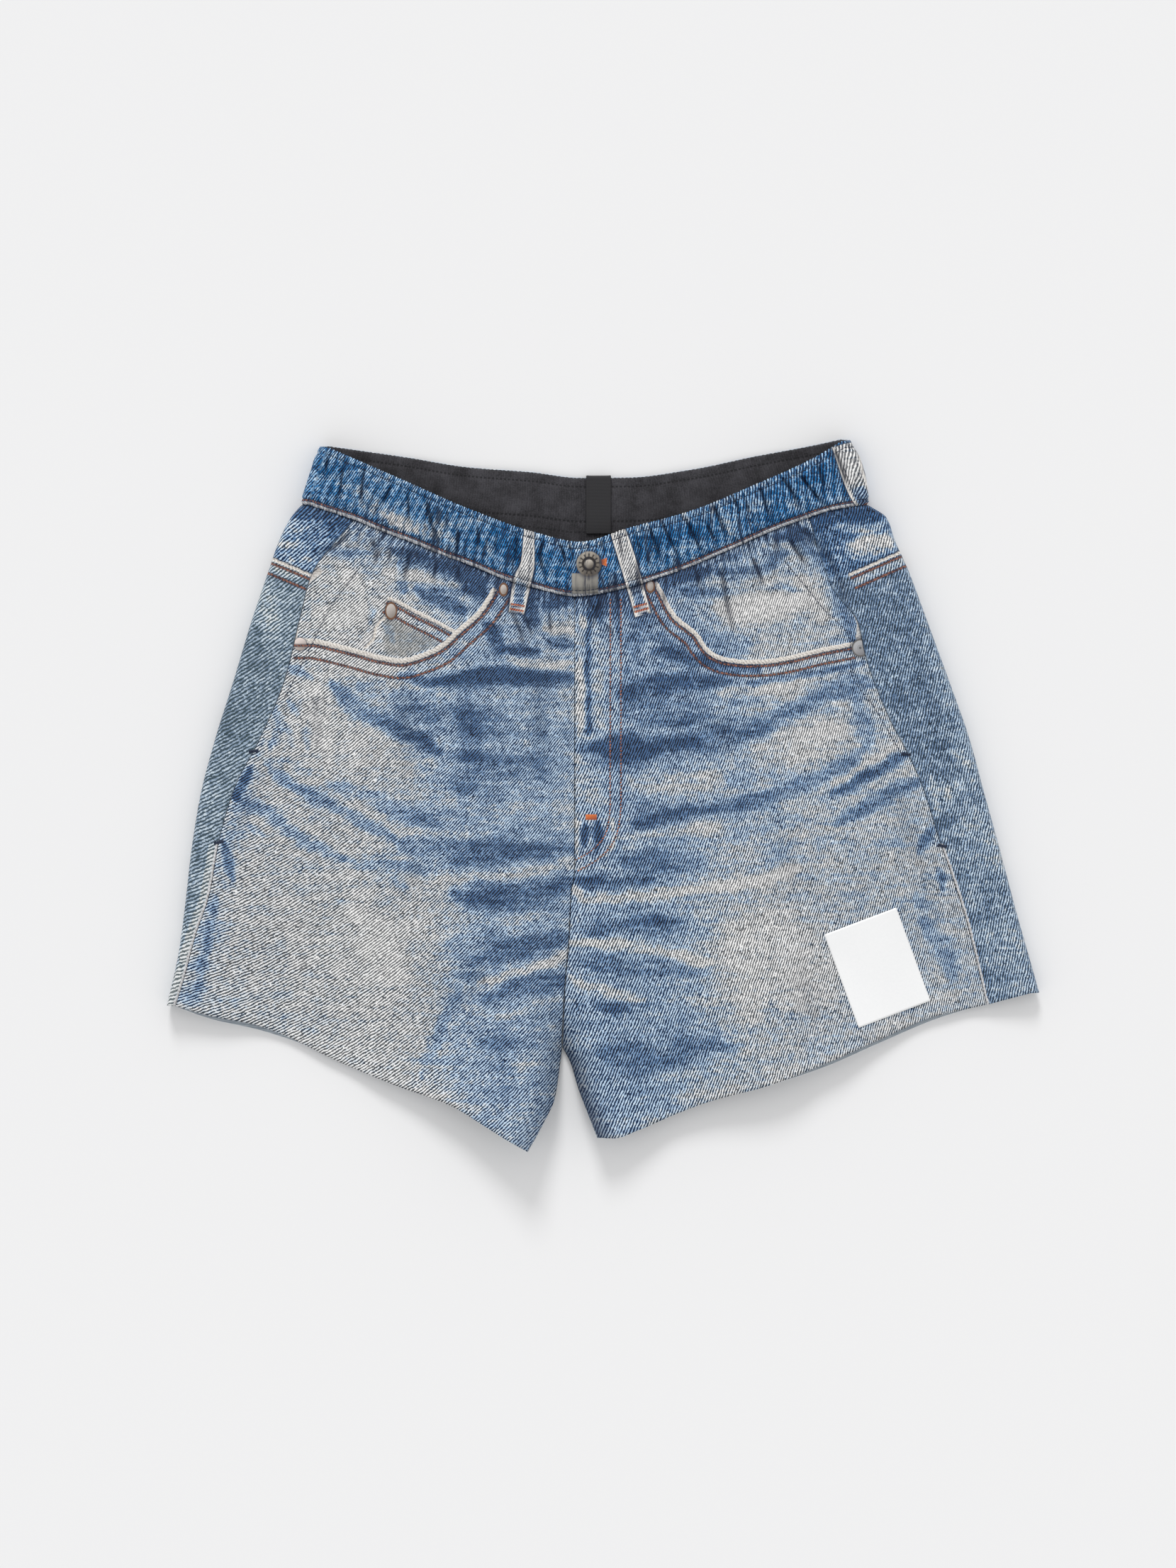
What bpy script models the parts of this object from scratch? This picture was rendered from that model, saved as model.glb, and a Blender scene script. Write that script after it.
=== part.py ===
"""Athletic shorts with a gathered elastic waist and raw-cut hems, laid flat on their back.

Each leg is one surface in rows and columns: the rows run from the waist seam down to the hem, the
columns from the centre front out to the side seam, round the outer fold and back under to the
centre back. The front and back panels are cut from that surface at the side seam. All sizes are in
millimetres. +X is the wearer's left, +Y points to the waist, and z = 0 is the table.
"""

import bpy
import numpy as np
from mathutils import Vector
from mathutils.bvhtree import BVHTree

MM = 0.001

# Walls.
PANEL = 1.2
BAND = 1.4
LINING = 1.2
POCKET = 1.0
LABEL = 1.0
SEAM = 0.3
LAY = 0.4

# Heights of the cloth's middle over the table.
PANEL_FLOOR = PANEL / 2
BAND_FLOOR = BAND / 2
WAIST_LOFT = 13.5
TOP_LOFT = 14.5
CROTCH_LOFT = 2.7

# Outer fold, inner edges and hidden allowances. A fold never takes over this share of the strip that
# lies between the side seam and the outline.
FOLD_DEPTH = 5.0
FOLD_SHARE = 0.45
INNER_ROLL = 28.0
BACK_ROLL = 26.0
LINING_BELOW_SEAM = 0.18

# The rows of a leg run from 0 at the waist seam to 1 at the hem; the inseam starts at the crotch's row.
CROTCH_ROW = 0.82

# The ridge of the inseam below the crotch: row, share of the hem tip's lift.
INSEAM_RIDGE = ((0.88, 0.22), (0.94, 0.56), (1.0, 1.0))

# How finely the surfaces are divided.
ROWS_ABOVE_CROTCH = (0, 0.01, 0.028, 0.055, 0.095, 0.15, 0.23, 0.33, 0.44, 0.55, 0.65, 0.74)
ROWS = np.array(ROWS_ABOVE_CROTCH + (CROTCH_ROW,) + tuple(row for row, _ in INSEAM_RIDGE))
FRONT_COLUMNS = 40
FLAP_COLUMNS = 4
FOLD_COLUMNS = 6
FLOOR_SHARES = np.array([0, 0.12, 0.24, 0.36, 0.48, 0.60, 0.71, 0.80, 0.87, 0.915, 0.95, 0.975, 1])
BAND_ROWS = np.array([0, 0.22, 0.5, 0.8, 1])
BAND_FRONT_COLUMNS = 120
BAND_BACK_COLUMNS = 44
LINING_ROWS = np.array([-LINING_BELOW_SEAM, 0, 0.5, 0.985])
LINING_FRONT_COLUMNS = 48
LINING_BACK_COLUMNS = 32

# The waist, from the wearer's right (share 0) to the left (share 1): distances to +Y.
#        share, seam front, seam back, top front, top back
WAIST = ((0.00, 176.0, 176.0, 211.6, 211.6),
         (0.08, 166.8, 173.0, 200.4, 207.9),
         (0.16, 156.2, 170.2, 189.2, 204.2),
         (0.28, 140.1, 163.2, 172.3, 198.0),
         (0.40, 125.0, 159.4, 158.5, 195.0),
         (0.49, 119.0, 156.4, 152.2, 191.6),
         (0.58, 124.9, 156.2, 160.4, 191.8),
         (0.70, 139.0, 161.4, 171.0, 196.6),
         (0.82, 157.0, 169.8, 186.8, 204.6),
         (0.92, 169.5, 175.0, 201.2, 210.6),
         (1.00, 175.4, 175.4, 216.2, 216.2))

# The band's two folded sides: level (0 the seam, 1 the top edge), right x, left x.
BAND_SIDES = ((0.0, -182.8, 160.4), (0.5, -177.0, 157.2), (1.0, -171.6, 149.6))

# The centre seam, from the waist down to the crotch.
#          y, x
CENTRE = ((130.0, -17.2), (-46.0, -17.2), (-60.0, -19.4), (-86.0, -20.6), (-117.0, -23.2),
          (-152.6, -24.9))

# Height of the centre seam.
#              row, height
CENTRE_LOFT = ((0.0, WAIST_LOFT), (0.1, 13.6), (0.3, 13.2), (0.55, 10.5), (0.7, 6.5),
               (CROTCH_ROW, CROTCH_LOFT))

# Height of the front panel over the table: a row down the leg, a column across it.
LOFT_COLUMNS = (0, 0.25, 0.5, 0.75, 1, 1.25)
#        row, then the height at each of those columns; the last is the outer fold
LOFT = ((0.00, 13.5, 13.5, 13.5, 13.5, 13.5, 13.5),
        (0.10, 13.7, 14.2, 14.2, 13.9, 13.4, 12.8),
        (0.30, 13.5, 15.0, 15.2, 14.4, 13.4, 12.2),
        (0.55, 12.0, 15.5, 16.0, 14.8, 13.2, 12.0),
        (0.82, 9.0, 16.0, 15.0, 13.5, 12.5, 12.0))
HEM_BLEND_START = 0.58

RIGHT_LEG = {
    "side": -1,
    "side_seam_top": -150.9,
    #              y, x
    "side_seam": ((131.6, -176.3), (105.8, -183.2), (70.5, -191.8), (25.8, -211.1), (8.6, -220.6),
                  (-29.2, -232.2), (-60.2, -237.8), (-86.0, -246.4), (-111.8, -253.3), (-128.1, -258.4)),
    "outline": ((167.7, -189.6), (154.8, -196.1), (137.6, -202.1), (103.2, -213.7), (68.8, -224.0),
                (34.4, -234.8), (0.0, -243.8), (-34.4, -249.4), (-68.8, -253.3), (-94.6, -256.7),
                (-128.1, -264.0)),
    "inseam": ((-152.6, -24.9), (-169.9, -27.1), (-184.0, -29.4), (-200.0, -37.0), (-215.0, -45.6)),
    #        x, front y, back y, lift of the front
    "hem": ((-45.6, -215.0, -215.0, 30.0),
            (-56.3, -209.4, -207.0, 27.0),
            (-73.5, -199.1, -195.0, 22.0),
            (-90.7, -189.2, -185.0, 17.0),
            (-125.1, -177.2, -173.5, 9.0),
            (-159.5, -163.4, -161.0, 4.6),
            (-193.9, -147.1, -148.2, 3.6),
            (-211.1, -141.0, -143.2, 4.8),
            (-236.9, -135.9, -137.6, 9.0),
            (-264.0, -128.1, -128.1, 14.0)),
}

LEFT_LEG = {
    "side": 1,
    "side_seam_top": 124.3,
    "side_seam": ((124.7, 138.0), (104.1, 153.5), (82.1, 158.7), (46.4, 172.4), (24.1, 184.0),
                  (6.9, 191.8), (-30.1, 203.8), (-50.3, 211.1), (-78.3, 220.2), (-127.7, 232.2)),
    "outline": ((167.7, 171.6), (154.8, 176.3), (137.6, 184.0), (103.2, 196.9), (68.8, 209.4),
                (34.4, 221.5), (0.0, 230.9), (-34.4, 240.4), (-68.8, 249.4), (-94.6, 256.7),
                (-120.4, 264.0)),
    "inseam": ((-152.6, -24.9), (-163.4, -19.4), (-176.7, -15.5), (-193.5, -9.0), (-207.3, -3.4)),
    "hem": ((-3.4, -207.3, -207.3, 20.0),
            (6.5, -207.7, -205.5, 18.5),
            (21.1, -203.0, -199.5, 15.0),
            (42.6, -194.0, -190.5, 10.8),
            (64.1, -185.8, -183.5, 12.0),
            (98.5, -176.3, -177.4, 17.0),
            (132.9, -163.4, -166.8, 14.0),
            (167.3, -148.4, -152.0, 7.0),
            (201.7, -134.2, -137.6, 3.8),
            (218.9, -130.3, -132.2, 4.0),
            (264.0, -120.4, -120.4, 12.0)),
}

# The largest soft folds of the fronts: from one end to the other, half width, height (troughs under 0).
# They start this far below the waist seam.
FOLD_START = 25.0
#         x0,    y0,     x1,     y1,  width, height
FOLDS = ((-118.7, 30.0, -118.7, -8.0, 9.0, -2.0),
         (-43.4, 70.0, -41.0, 0.0, 8.0, -2.4),
         (-86.4, -112.0, -108.0, -163.0, 12.0, -3.0),
         (107.0, -26.0, 108.0, -78.0, 10.0, -2.2),
         (126.0, -112.0, 127.0, -155.0, 12.0, -2.8),
         (21.0, 60.0, 4.0, -26.0, 14.0, 1.8),
         (-165.0, 60.0, -185.0, -20.0, 13.0, 1.6),
         (60.0, 95.0, 66.0, 40.0, 8.0, -1.6),
         (-90.0, 88.0, -84.0, 40.0, 8.0, -1.6),
         (150.0, 40.0, 158.0, -10.0, 10.0, -1.8))

# Gathers: outward waves under the waistband and across it. Slow waves along the seam make their
# places, heights and lengths uneven: amount, rate and start of each.
PANEL_GATHERS = 9
PANEL_GATHER_HEIGHT = 1.5
PANEL_GATHER_REACH = 52.0
PANEL_GATHER_SHARPNESS = 1.3
PANEL_PLACE_WAVES = ((0.28, 7.1, 0.0), (0.16, 17.3, 1.0))
PANEL_HEIGHT_WAVE = (0.2, 9.7, 0.6)
PANEL_REACH_WAVE = (0.35, 12.9, 2.0)
GATHER_START = 7.0
GATHER_END_COLUMNS = (1.15, 1.25)
BAND_GATHERS = 27
BAND_GATHER_HEIGHT = 1.1
BAND_GATHER_SLANT = 0.10
BAND_PLACE_WAVES = ((0.30, 11.0, 0.0), (0.2, 29.0, 0.8))
BAND_HEIGHT_WAVE = (0.25, 19.0, 1.2)
BAND_RISE_LEVELS = (0.0, 0.22)
BAND_FALL_LEVELS = (0.7, 1.0)
BAND_FALL = 0.55
BAND_SMOOTH_ENDS = 0.04

# The pocket bags hang from the side seams inside the fronts: columns and rows of the front surface.
BAG_COLUMNS = (22, 39)
BAG_ROWS = (4, 10)

# The label on the wearer's left leg, a plain rectangle set at a slant.
LABEL_SIZE = (46.7, 60.4)
LABEL_CENTRE = (165.8, -105.1)
LABEL_TURN = 20.4

# The tab folded over the back of the waist.
TAB_WIDTH = 15.0
TAB_CENTRE = -2.8
TAB_REACH = 34.0
TAB_CLEAR = SEAM + LABEL / 2 + 0.1
TAB_HANGS_TO = 0.9

#           name: red, green, blue, roughness
COLOURS = {"front": (0.30, 0.37, 0.47, 0.75),
           "back": (0.25, 0.34, 0.45, 0.75),
           "waistband": (0.13, 0.21, 0.34, 0.75),
           "lining": (0.035, 0.035, 0.038, 0.9),
           "pocket": (0.33, 0.36, 0.40, 0.8),
           "tab": (0.012, 0.012, 0.014, 0.7),
           "label": (0.72, 0.76, 0.80, 0.45)}


def smooth(knots, values, at):
    """A cubic curve through the knots that never swings past them; level beyond both ends."""
    knots = np.asarray(knots, float)
    values = np.asarray(values, float)
    if knots[0] > knots[-1]:
        knots, values = knots[::-1], values[::-1]
    step = np.diff(knots)
    slope = np.diff(values) / step
    before, after = slope[:-1], slope[1:]
    same_way = before * after > 0
    weight = step[1:] + 2 * step[:-1], 2 * step[1:] + step[:-1]
    safe_before = np.where(same_way, before, 1)
    safe_after = np.where(same_way, after, 1)
    mean = 3 * (step[:-1] + step[1:]) / (weight[1] / safe_before + weight[0] / safe_after)
    tangent = np.concatenate([slope[:1], np.where(same_way, mean, 0), slope[-1:]])
    at = np.clip(at, knots[0], knots[-1])
    cell = np.clip(np.searchsorted(knots, at, side="right") - 1, 0, len(step) - 1)
    t = (at - knots[cell]) / step[cell]
    return (values[cell] * (1 + 2 * t) * (1 - t) ** 2
            + step[cell] * tangent[cell] * t * (1 - t) ** 2
            + values[cell + 1] * t * t * (3 - 2 * t)
            + step[cell] * tangent[cell + 1] * t * t * (t - 1))


def column(table, index):
    return [row[index] for row in table]


def step_up(low, high, at):
    """0 below low, 1 above high, an S-curve between."""
    t = np.clip((at - low) / (high - low), 0, 1)
    return t * t * (3 - 2 * t)


def uneven(at, mean, *waves):
    """A value that wanders round its mean in slow waves along a seam."""
    return mean + sum(amount * np.sin(rate * at + start) for amount, rate, start in waves)


def unit(vectors):
    return vectors / np.linalg.norm(vectors, axis=-1, keepdims=True)


def waist_y(level, share, back):
    """Distance to +Y of the waist at a height level of the band: 0 is the seam, 1 the top edge."""
    shares = column(WAIST, 0)
    seam = smooth(shares, column(WAIST, 2 if back else 1), share)
    top = smooth(shares, column(WAIST, 4 if back else 3), share)
    return seam + level * (top - seam)


def band_sides(level):
    levels = column(BAND_SIDES, 0)
    return smooth(levels, column(BAND_SIDES, 1), level), smooth(levels, column(BAND_SIDES, 2), level)


def seam_y(x, back):
    start, end = band_sides(0)
    return waist_y(0, (x - start) / (end - start), back)


def patch(top, bottom, start, end, shares):
    """The surface in plan between four edges: the blends of both pairs, less the corners' own blend."""
    v = ROWS[:, None, None]
    u = shares[None, :, None]
    across = (1 - v) * top[None] + v * bottom[None]
    along = (1 - u) * start[:, None] + u * end[:, None]
    corners = ((1 - u) * (1 - v) * top[0] + u * (1 - v) * top[-1]
               + (1 - u) * v * bottom[0] + u * v * bottom[-1])
    return across + along - corners


def edge_down(table, first_y, rows):
    """Points of a seam that runs down the leg, evenly spaced in y, from its table of y and x."""
    y = first_y + rows * (table[-1][0] - first_y)
    return np.stack([smooth(column(table, 0), column(table, 1), y), y], axis=1)


def inner_edge(leg, back):
    """Centre seam down to the crotch, then the leg's own inseam."""
    above = ROWS <= CROTCH_ROW
    centre_top = seam_y(CENTRE[0][1], back) - SEAM
    upper = edge_down(CENTRE, centre_top, ROWS[above] / CROTCH_ROW)
    lower_rows = (ROWS[~above] - CROTCH_ROW) / (1 - CROTCH_ROW)
    lower = edge_down(leg["inseam"], CENTRE[-1][0], lower_rows)
    return np.concatenate([upper, lower])


def line_top(x_from, x_to, shares, back):
    x = x_from + shares * (x_to - x_from)
    return np.stack([x, seam_y(x, back) - SEAM], axis=1)


def line_hem(leg, x_from, x_to, shares, back):
    x = x_from + shares * (x_to - x_from)
    inner_first = np.array(leg["hem"])
    return np.stack([x, smooth(inner_first[:, 0], inner_first[:, 2 if back else 1], x)], axis=1)


def gathers(wave, depth):
    """Soft outward pleats below the waist seam, uneven in place, height and length."""
    phase = uneven(wave, PANEL_GATHERS * wave, *PANEL_PLACE_WAVES)
    crest = (0.5 + 0.5 * np.cos(2 * np.pi * phase)) ** PANEL_GATHER_SHARPNESS
    height = PANEL_GATHER_HEIGHT * uneven(wave, 0.8, PANEL_HEIGHT_WAVE)
    reach = PANEL_GATHER_REACH * uneven(wave, 0.8, PANEL_REACH_WAVE)
    return height * crest * step_up(0, GATHER_START, depth) * np.exp(-(depth / reach) ** 2)


def main_folds(x, y):
    """The height that the largest folds add: a bell across each fold's line."""
    total = np.zeros_like(x)
    for x0, y0, x1, y1, width, height in FOLDS:
        run = np.array([x1 - x0, y1 - y0])
        share = np.clip(((x - x0) * run[0] + (y - y0) * run[1]) / (run @ run), 0, 1)
        away = np.hypot(x - x0 - share * run[0], y - y0 - share * run[1])
        total += height * np.exp(-(away / width) ** 2)
    return total


def front_heights(leg, plan, wave, hem_x):
    """Heights of the front and of the flap beside it, over the plan's points."""
    v = ROWS[:, None]
    rows = column(LOFT, 0)
    at_columns = [smooth(rows, column(LOFT, 1 + i), ROWS) for i in range(len(LOFT_COLUMNS))]
    body = np.stack([smooth(LOFT_COLUMNS, heights, wave) for heights in np.array(at_columns).T])
    hem = np.array(leg["hem"])
    lift = smooth(hem[:, 0], hem[:, 3], hem_x)[None]
    height = body + (lift - body) * step_up(HEM_BLEND_START, 1, v)
    rise = hem[0, 3] - CROTCH_LOFT
    ridge = tuple((row, CROTCH_LOFT + share * rise) for row, share in INSEAM_RIDGE)
    edge = smooth(column(CENTRE_LOFT + ridge, 0), column(CENTRE_LOFT + ridge, 1), ROWS)[:, None]
    from_edge = np.abs(plan[..., 0] - plan[:, :1, 0])
    roll = np.clip(1 - from_edge / INNER_ROLL, 0, 1) ** 2
    height = height + (edge - height[:, :1]) * roll
    depth = seam_y(plan[..., 0], False) - plan[..., 1]
    folds = main_folds(plan[..., 0], plan[..., 1]) * step_up(0, FOLD_START, depth)
    height = np.maximum(height + folds * (1 - roll), CROTCH_LOFT)
    gathered = 1 - step_up(*GATHER_END_COLUMNS, wave)[None]
    return height + gathers(wave, depth) * gathered * (1 - roll * step_up(0, CROTCH_ROW, v)), edge[:, 0]


def fold_line(leg, side_seam, back):
    """Where the flat cloth turns into the outer fold, and how deep the fold is, row by row."""
    end_x = band_sides(0)[0 if leg["side"] < 0 else 1]
    outline = ((seam_y(end_x, back), end_x),) + leg["outline"]
    line = edge_down(outline, outline[0][0], ROWS)
    depth = np.minimum(FOLD_DEPTH, FOLD_SHARE * (np.abs(line[:, 0] - side_seam[:, 0]) - PANEL / 2))
    line[:, 0] -= leg["side"] * (depth + PANEL / 2)
    line[:, 1] += (seam_y(line[0, 0], back) - SEAM - line[0, 1]) * (1 - ROWS)
    return line, depth


def leg_surface(leg):
    """The middle of the leg's cloth and its outward normals, as rows by columns."""
    side = leg["side"]
    seam_x = leg["side_seam_top"]
    seam_start = seam_y(seam_x, False) - SEAM
    side_seam = edge_down(((seam_start, seam_x),) + leg["side_seam"], seam_start, ROWS)
    fold, depth = fold_line(leg, side_seam, False)
    back_fold = fold_line(leg, side_seam, True)[0]

    front_shares = np.linspace(0, 1, FRONT_COLUMNS + 1)
    front_edge = inner_edge(leg, False)
    front = patch(line_top(front_edge[0, 0], seam_x, front_shares, False),
                  line_hem(leg, front_edge[-1, 0], side_seam[-1, 0], front_shares, False),
                  front_edge, side_seam, front_shares)
    flap_shares = np.linspace(0, 1, FLAP_COLUMNS + 1)
    flap = patch(line_top(seam_x, fold[0, 0], flap_shares, False),
                 line_hem(leg, side_seam[-1, 0], fold[-1, 0], flap_shares, False),
                 side_seam, fold, flap_shares)
    back_edge = inner_edge(leg, True)
    floor = patch(line_top(fold[0, 0], back_edge[0, 0], FLOOR_SHARES, True),
                  line_hem(leg, fold[-1, 0], back_edge[-1, 0], FLOOR_SHARES, True),
                  back_fold, back_edge, FLOOR_SHARES)

    over = np.concatenate([front, flap[:, 1:]], axis=1)
    wave = np.concatenate([front_shares, 1 + 0.25 * flap_shares[1:]])
    over_z, edge = front_heights(leg, over, wave, over[-1, :, 0])
    over = np.concatenate([over, over_z[..., None]], axis=2)

    turn = np.linspace(0, np.pi, FOLD_COLUMNS + 1)[None, 1:-1]
    middle = (over[:, -1:, 2] + PANEL_FLOOR) / 2
    radius = (over[:, -1:, 2] - PANEL_FLOOR) / 2
    drift = turn / np.pi * (floor[:, :1, 1] - over[:, -1:, 1])
    fold_points = np.stack([over[:, -1:, 0] + side * depth[:, None] * np.sin(turn),
                            over[:, -1:, 1] + drift,
                            middle + radius * np.cos(turn)], axis=2)

    back_lift = np.where(ROWS < CROTCH_ROW, 0, edge - PANEL - LAY - PANEL_FLOOR)
    from_edge = np.abs(floor[..., 0] - floor[:, -1:, 0])
    rise = back_lift[:, None] * np.clip(1 - from_edge / BACK_ROLL, 0, 1) ** 2
    under = np.concatenate([floor, (PANEL_FLOOR + rise)[..., None]], axis=2)

    points = np.concatenate([over, fold_points, under], axis=1)
    normals = unit(np.cross(np.gradient(points, axis=1), np.gradient(points, axis=0))) * -side
    # At the waist and the centre the walls end square to the seam, so the pieces meet face to face.
    along_top = np.gradient(points[0], axis=0)
    normals[0] = unit(np.cross(along_top, (0, 1, 0))) * side
    above = ROWS <= CROTCH_ROW
    down = np.gradient(points, axis=0)
    normals[above, 0] = unit(np.cross(down[above, 0], (1, 0, 0)))
    normals[above, -1] = -unit(np.cross(down[above, -1], (1, 0, 0)))
    return points, normals


def trimmed(points, side, first_is_seam, last_is_seam):
    """Half a seam's gap taken off the side seam's edge, and half a lay's off the centre edge."""
    points = points.copy()
    for is_seam, edge, inside in ((first_is_seam, 0, 1), (last_is_seam, -1, -2)):
        if is_seam:
            points[:, edge] += unit(points[:, inside] - points[:, edge]) * SEAM / 2
        else:
            points[:, edge, 0] += side * LAY / 2
    return points


def wall(name, points, normals, thickness, colour, ring=False):
    """A closed wall of even thickness round a grid of middle points.

    A ring also joins its last column to its first.
    """
    rows, columns = points.shape[:2]
    outer = points + normals * thickness / 2
    inner = points - normals * thickness / 2
    vertices = np.concatenate([outer.reshape(-1, 3), inner.reshape(-1, 3)]) * MM
    index = np.arange(rows * columns).reshape(rows, columns)
    if ring:
        index = np.concatenate([index, index[:, :1]], axis=1)
    under = index + rows * columns
    quads = [(index[:-1, :-1], index[1:, :-1], index[1:, 1:], index[:-1, 1:]),
             (under[:-1, :-1], under[:-1, 1:], under[1:, 1:], under[1:, :-1]),
             (index[0, :-1], index[0, 1:], under[0, 1:], under[0, :-1]),
             (index[-1, 1:], index[-1, :-1], under[-1, :-1], under[-1, 1:])]
    if not ring:
        quads += [(index[1:, 0], index[:-1, 0], under[:-1, 0], under[1:, 0]),
                  (index[:-1, -1], index[1:, -1], under[1:, -1], under[:-1, -1])]
    faces = np.concatenate([np.stack(corners, -1).reshape(-1, 4) for corners in quads])
    mesh = bpy.data.meshes.new(name)
    mesh.from_pydata(vertices.tolist(), [], faces.tolist())
    mesh.update()
    outward = np.cross(points[0, 1] - points[0, 0], points[1, 0] - points[0, 0]) @ normals[0, 0]
    if outward > 0:
        mesh.flip_normals()
    mesh.shade_smooth()
    mesh.materials.append(material(colour))
    piece = bpy.data.objects.new(name, mesh)
    bpy.context.collection.objects.link(piece)
    return piece


def material(name):
    """One plain finish for each kind of cloth."""
    found = bpy.data.materials.get(name)
    if found:
        return found
    red, green, blue, roughness = COLOURS[name]
    made = bpy.data.materials.new(name)
    made.use_nodes = True
    shader = made.node_tree.nodes["Principled BSDF"]
    shader.inputs["Base Color"].default_value = (red, green, blue, 1)
    shader.inputs["Roughness"].default_value = roughness
    shader.inputs["Metallic"].default_value = 0
    return made


def waist_ring(levels, front_columns, back_columns, inset, floor):
    """Rings of points round the waist, each down the front, round the fold and back under.

    inset moves a ring inside the band's own middle; floor is the height of its stretch on the table.
    """
    front = np.linspace(0, 1, front_columns + 1)
    back = np.linspace(1, 0, back_columns + 1)
    turn = np.linspace(0, np.pi, FOLD_COLUMNS + 1)[1:-1]
    depth = FOLD_DEPTH - inset
    rings = []
    for level in levels:
        start, end = band_sides(level)
        left = start + FOLD_DEPTH + BAND / 2
        right = end - FOLD_DEPTH - BAND / 2
        high = WAIST_LOFT + level * (TOP_LOFT - WAIST_LOFT) - inset
        middle = (high + floor) / 2
        radius = (high - floor) / 2
        front_x = left + front * (right - left)
        back_x = left + back * (right - left)
        front_y = waist_y(level, (front_x - start) / (end - start), False)
        back_y = waist_y(level, (back_x - start) / (end - start), True)
        bend = turn / np.pi
        right_side = np.stack([right + depth * np.sin(turn),
                               front_y[-1] + bend * (back_y[0] - front_y[-1]),
                               middle + radius * np.cos(turn)], axis=1)
        left_side = np.stack([left - depth * np.sin(turn),
                              back_y[-1] + bend * (front_y[0] - back_y[-1]),
                              middle - radius * np.cos(turn)], axis=1)
        rings.append(np.concatenate([
            np.stack([front_x, front_y, np.full_like(front_x, high)], axis=1),
            right_side,
            np.stack([back_x, back_y, np.full_like(back_x, floor)], axis=1),
            left_side]))
    return np.array(rings)


def ring_normals(points):
    """Outward normals of a ring, square to +Y so that the band meets the panels face to face."""
    along = np.roll(points, -1, axis=1) - np.roll(points, 1, axis=1)
    return unit(np.cross(along, (0, 1, 0)))


def waistband():
    """The outer band: smooth where it lies on the table, ruched across the front."""
    points = waist_ring(BAND_ROWS, BAND_FRONT_COLUMNS, BAND_BACK_COLUMNS, 0, BAND_FLOOR)
    share = np.linspace(0, 1, BAND_FRONT_COLUMNS + 1)[None]
    level = BAND_ROWS[:, None]
    slant = BAND_GATHER_SLANT * (0.5 - share) * level
    place = share + slant
    phase = uneven(place, BAND_GATHERS * place, *BAND_PLACE_WAVES)
    crest = 0.5 + 0.5 * np.cos(2 * np.pi * phase)
    height = BAND_GATHER_HEIGHT * uneven(place, 0.75, BAND_HEIGHT_WAVE)
    rise = step_up(*BAND_RISE_LEVELS, level) * (1 - BAND_FALL * step_up(*BAND_FALL_LEVELS, level))
    ends = step_up(0, BAND_SMOOTH_ENDS, share) * step_up(0, BAND_SMOOTH_ENDS, 1 - share)
    points[:, :BAND_FRONT_COLUMNS + 1, 2] += height * crest * rise * ends
    points[0, :, 1] += SEAM / 3
    return wall("waistband", points, ring_normals(points), BAND, "waistband", ring=True)


def lining():
    """The elastic's inner face: a smooth ring inside the band, a little deeper than it."""
    inset = BAND / 2 + LAY + LINING / 2
    floor = BAND + LAY + LINING / 2
    points = waist_ring(LINING_ROWS, LINING_FRONT_COLUMNS, LINING_BACK_COLUMNS, inset, floor)
    return wall("waistband_lining", points, ring_normals(points), LINING, "lining", ring=True)


def inner_tab():
    """A short woven tab on the lining at the centre back, turned over the band's top edge."""
    across = TAB_CENTRE + np.linspace(-0.5, 0.5, 5) * TAB_WIDTH
    start, end = band_sides(1)
    edge = waist_y(1, (across - start) / (end - start), True)
    on_lining = BAND + LAY + LINING + LAY + LABEL / 2
    #           distance past the top edge, height under the tab's own level on the lining
    profile = ((-TAB_REACH, 0.0), (-TAB_REACH / 2, 0.0), (TAB_CLEAR - 2.1, 0.0),
               (TAB_CLEAR - 0.55, 0.15), (TAB_CLEAR - 0.12, 0.6), (TAB_CLEAR, 1.3),
               (TAB_CLEAR, on_lining - TAB_HANGS_TO))
    points = np.array([np.stack([across, edge + past, np.full_like(across, on_lining - under)], axis=1)
                       for past, under in profile])
    normals = unit(np.cross(np.gradient(points, axis=1), np.gradient(points, axis=0)))
    return wall("inner_tab", points, normals, LABEL, "tab")


def leg_label(front):
    """A flat label on the left front: its points are the panel's own, moved out."""
    panel = BVHTree.FromObject(front, bpy.context.evaluated_depsgraph_get())
    turn = np.radians(LABEL_TURN)
    across, down = np.meshgrid(np.linspace(-0.5, 0.5, 6), np.linspace(0.5, -0.5, 8))
    u = across * LABEL_SIZE[0]
    v = down * LABEL_SIZE[1]
    x = LABEL_CENTRE[0] + u * np.cos(turn) - v * np.sin(turn)
    y = LABEL_CENTRE[1] + u * np.sin(turn) + v * np.cos(turn)
    z = np.empty_like(x)
    for place in np.ndindex(x.shape):
        above = Vector((x[place] * MM, y[place] * MM, 1))
        z[place] = panel.ray_cast(above, Vector((0, 0, -1)))[0].z / MM
    points = np.stack([x, y, z + LAY + LABEL / 2], axis=2)
    normals = -unit(np.cross(np.gradient(points, axis=1), np.gradient(points, axis=0)))
    return wall("leg_label", points, normals, LABEL, "label")


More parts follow.
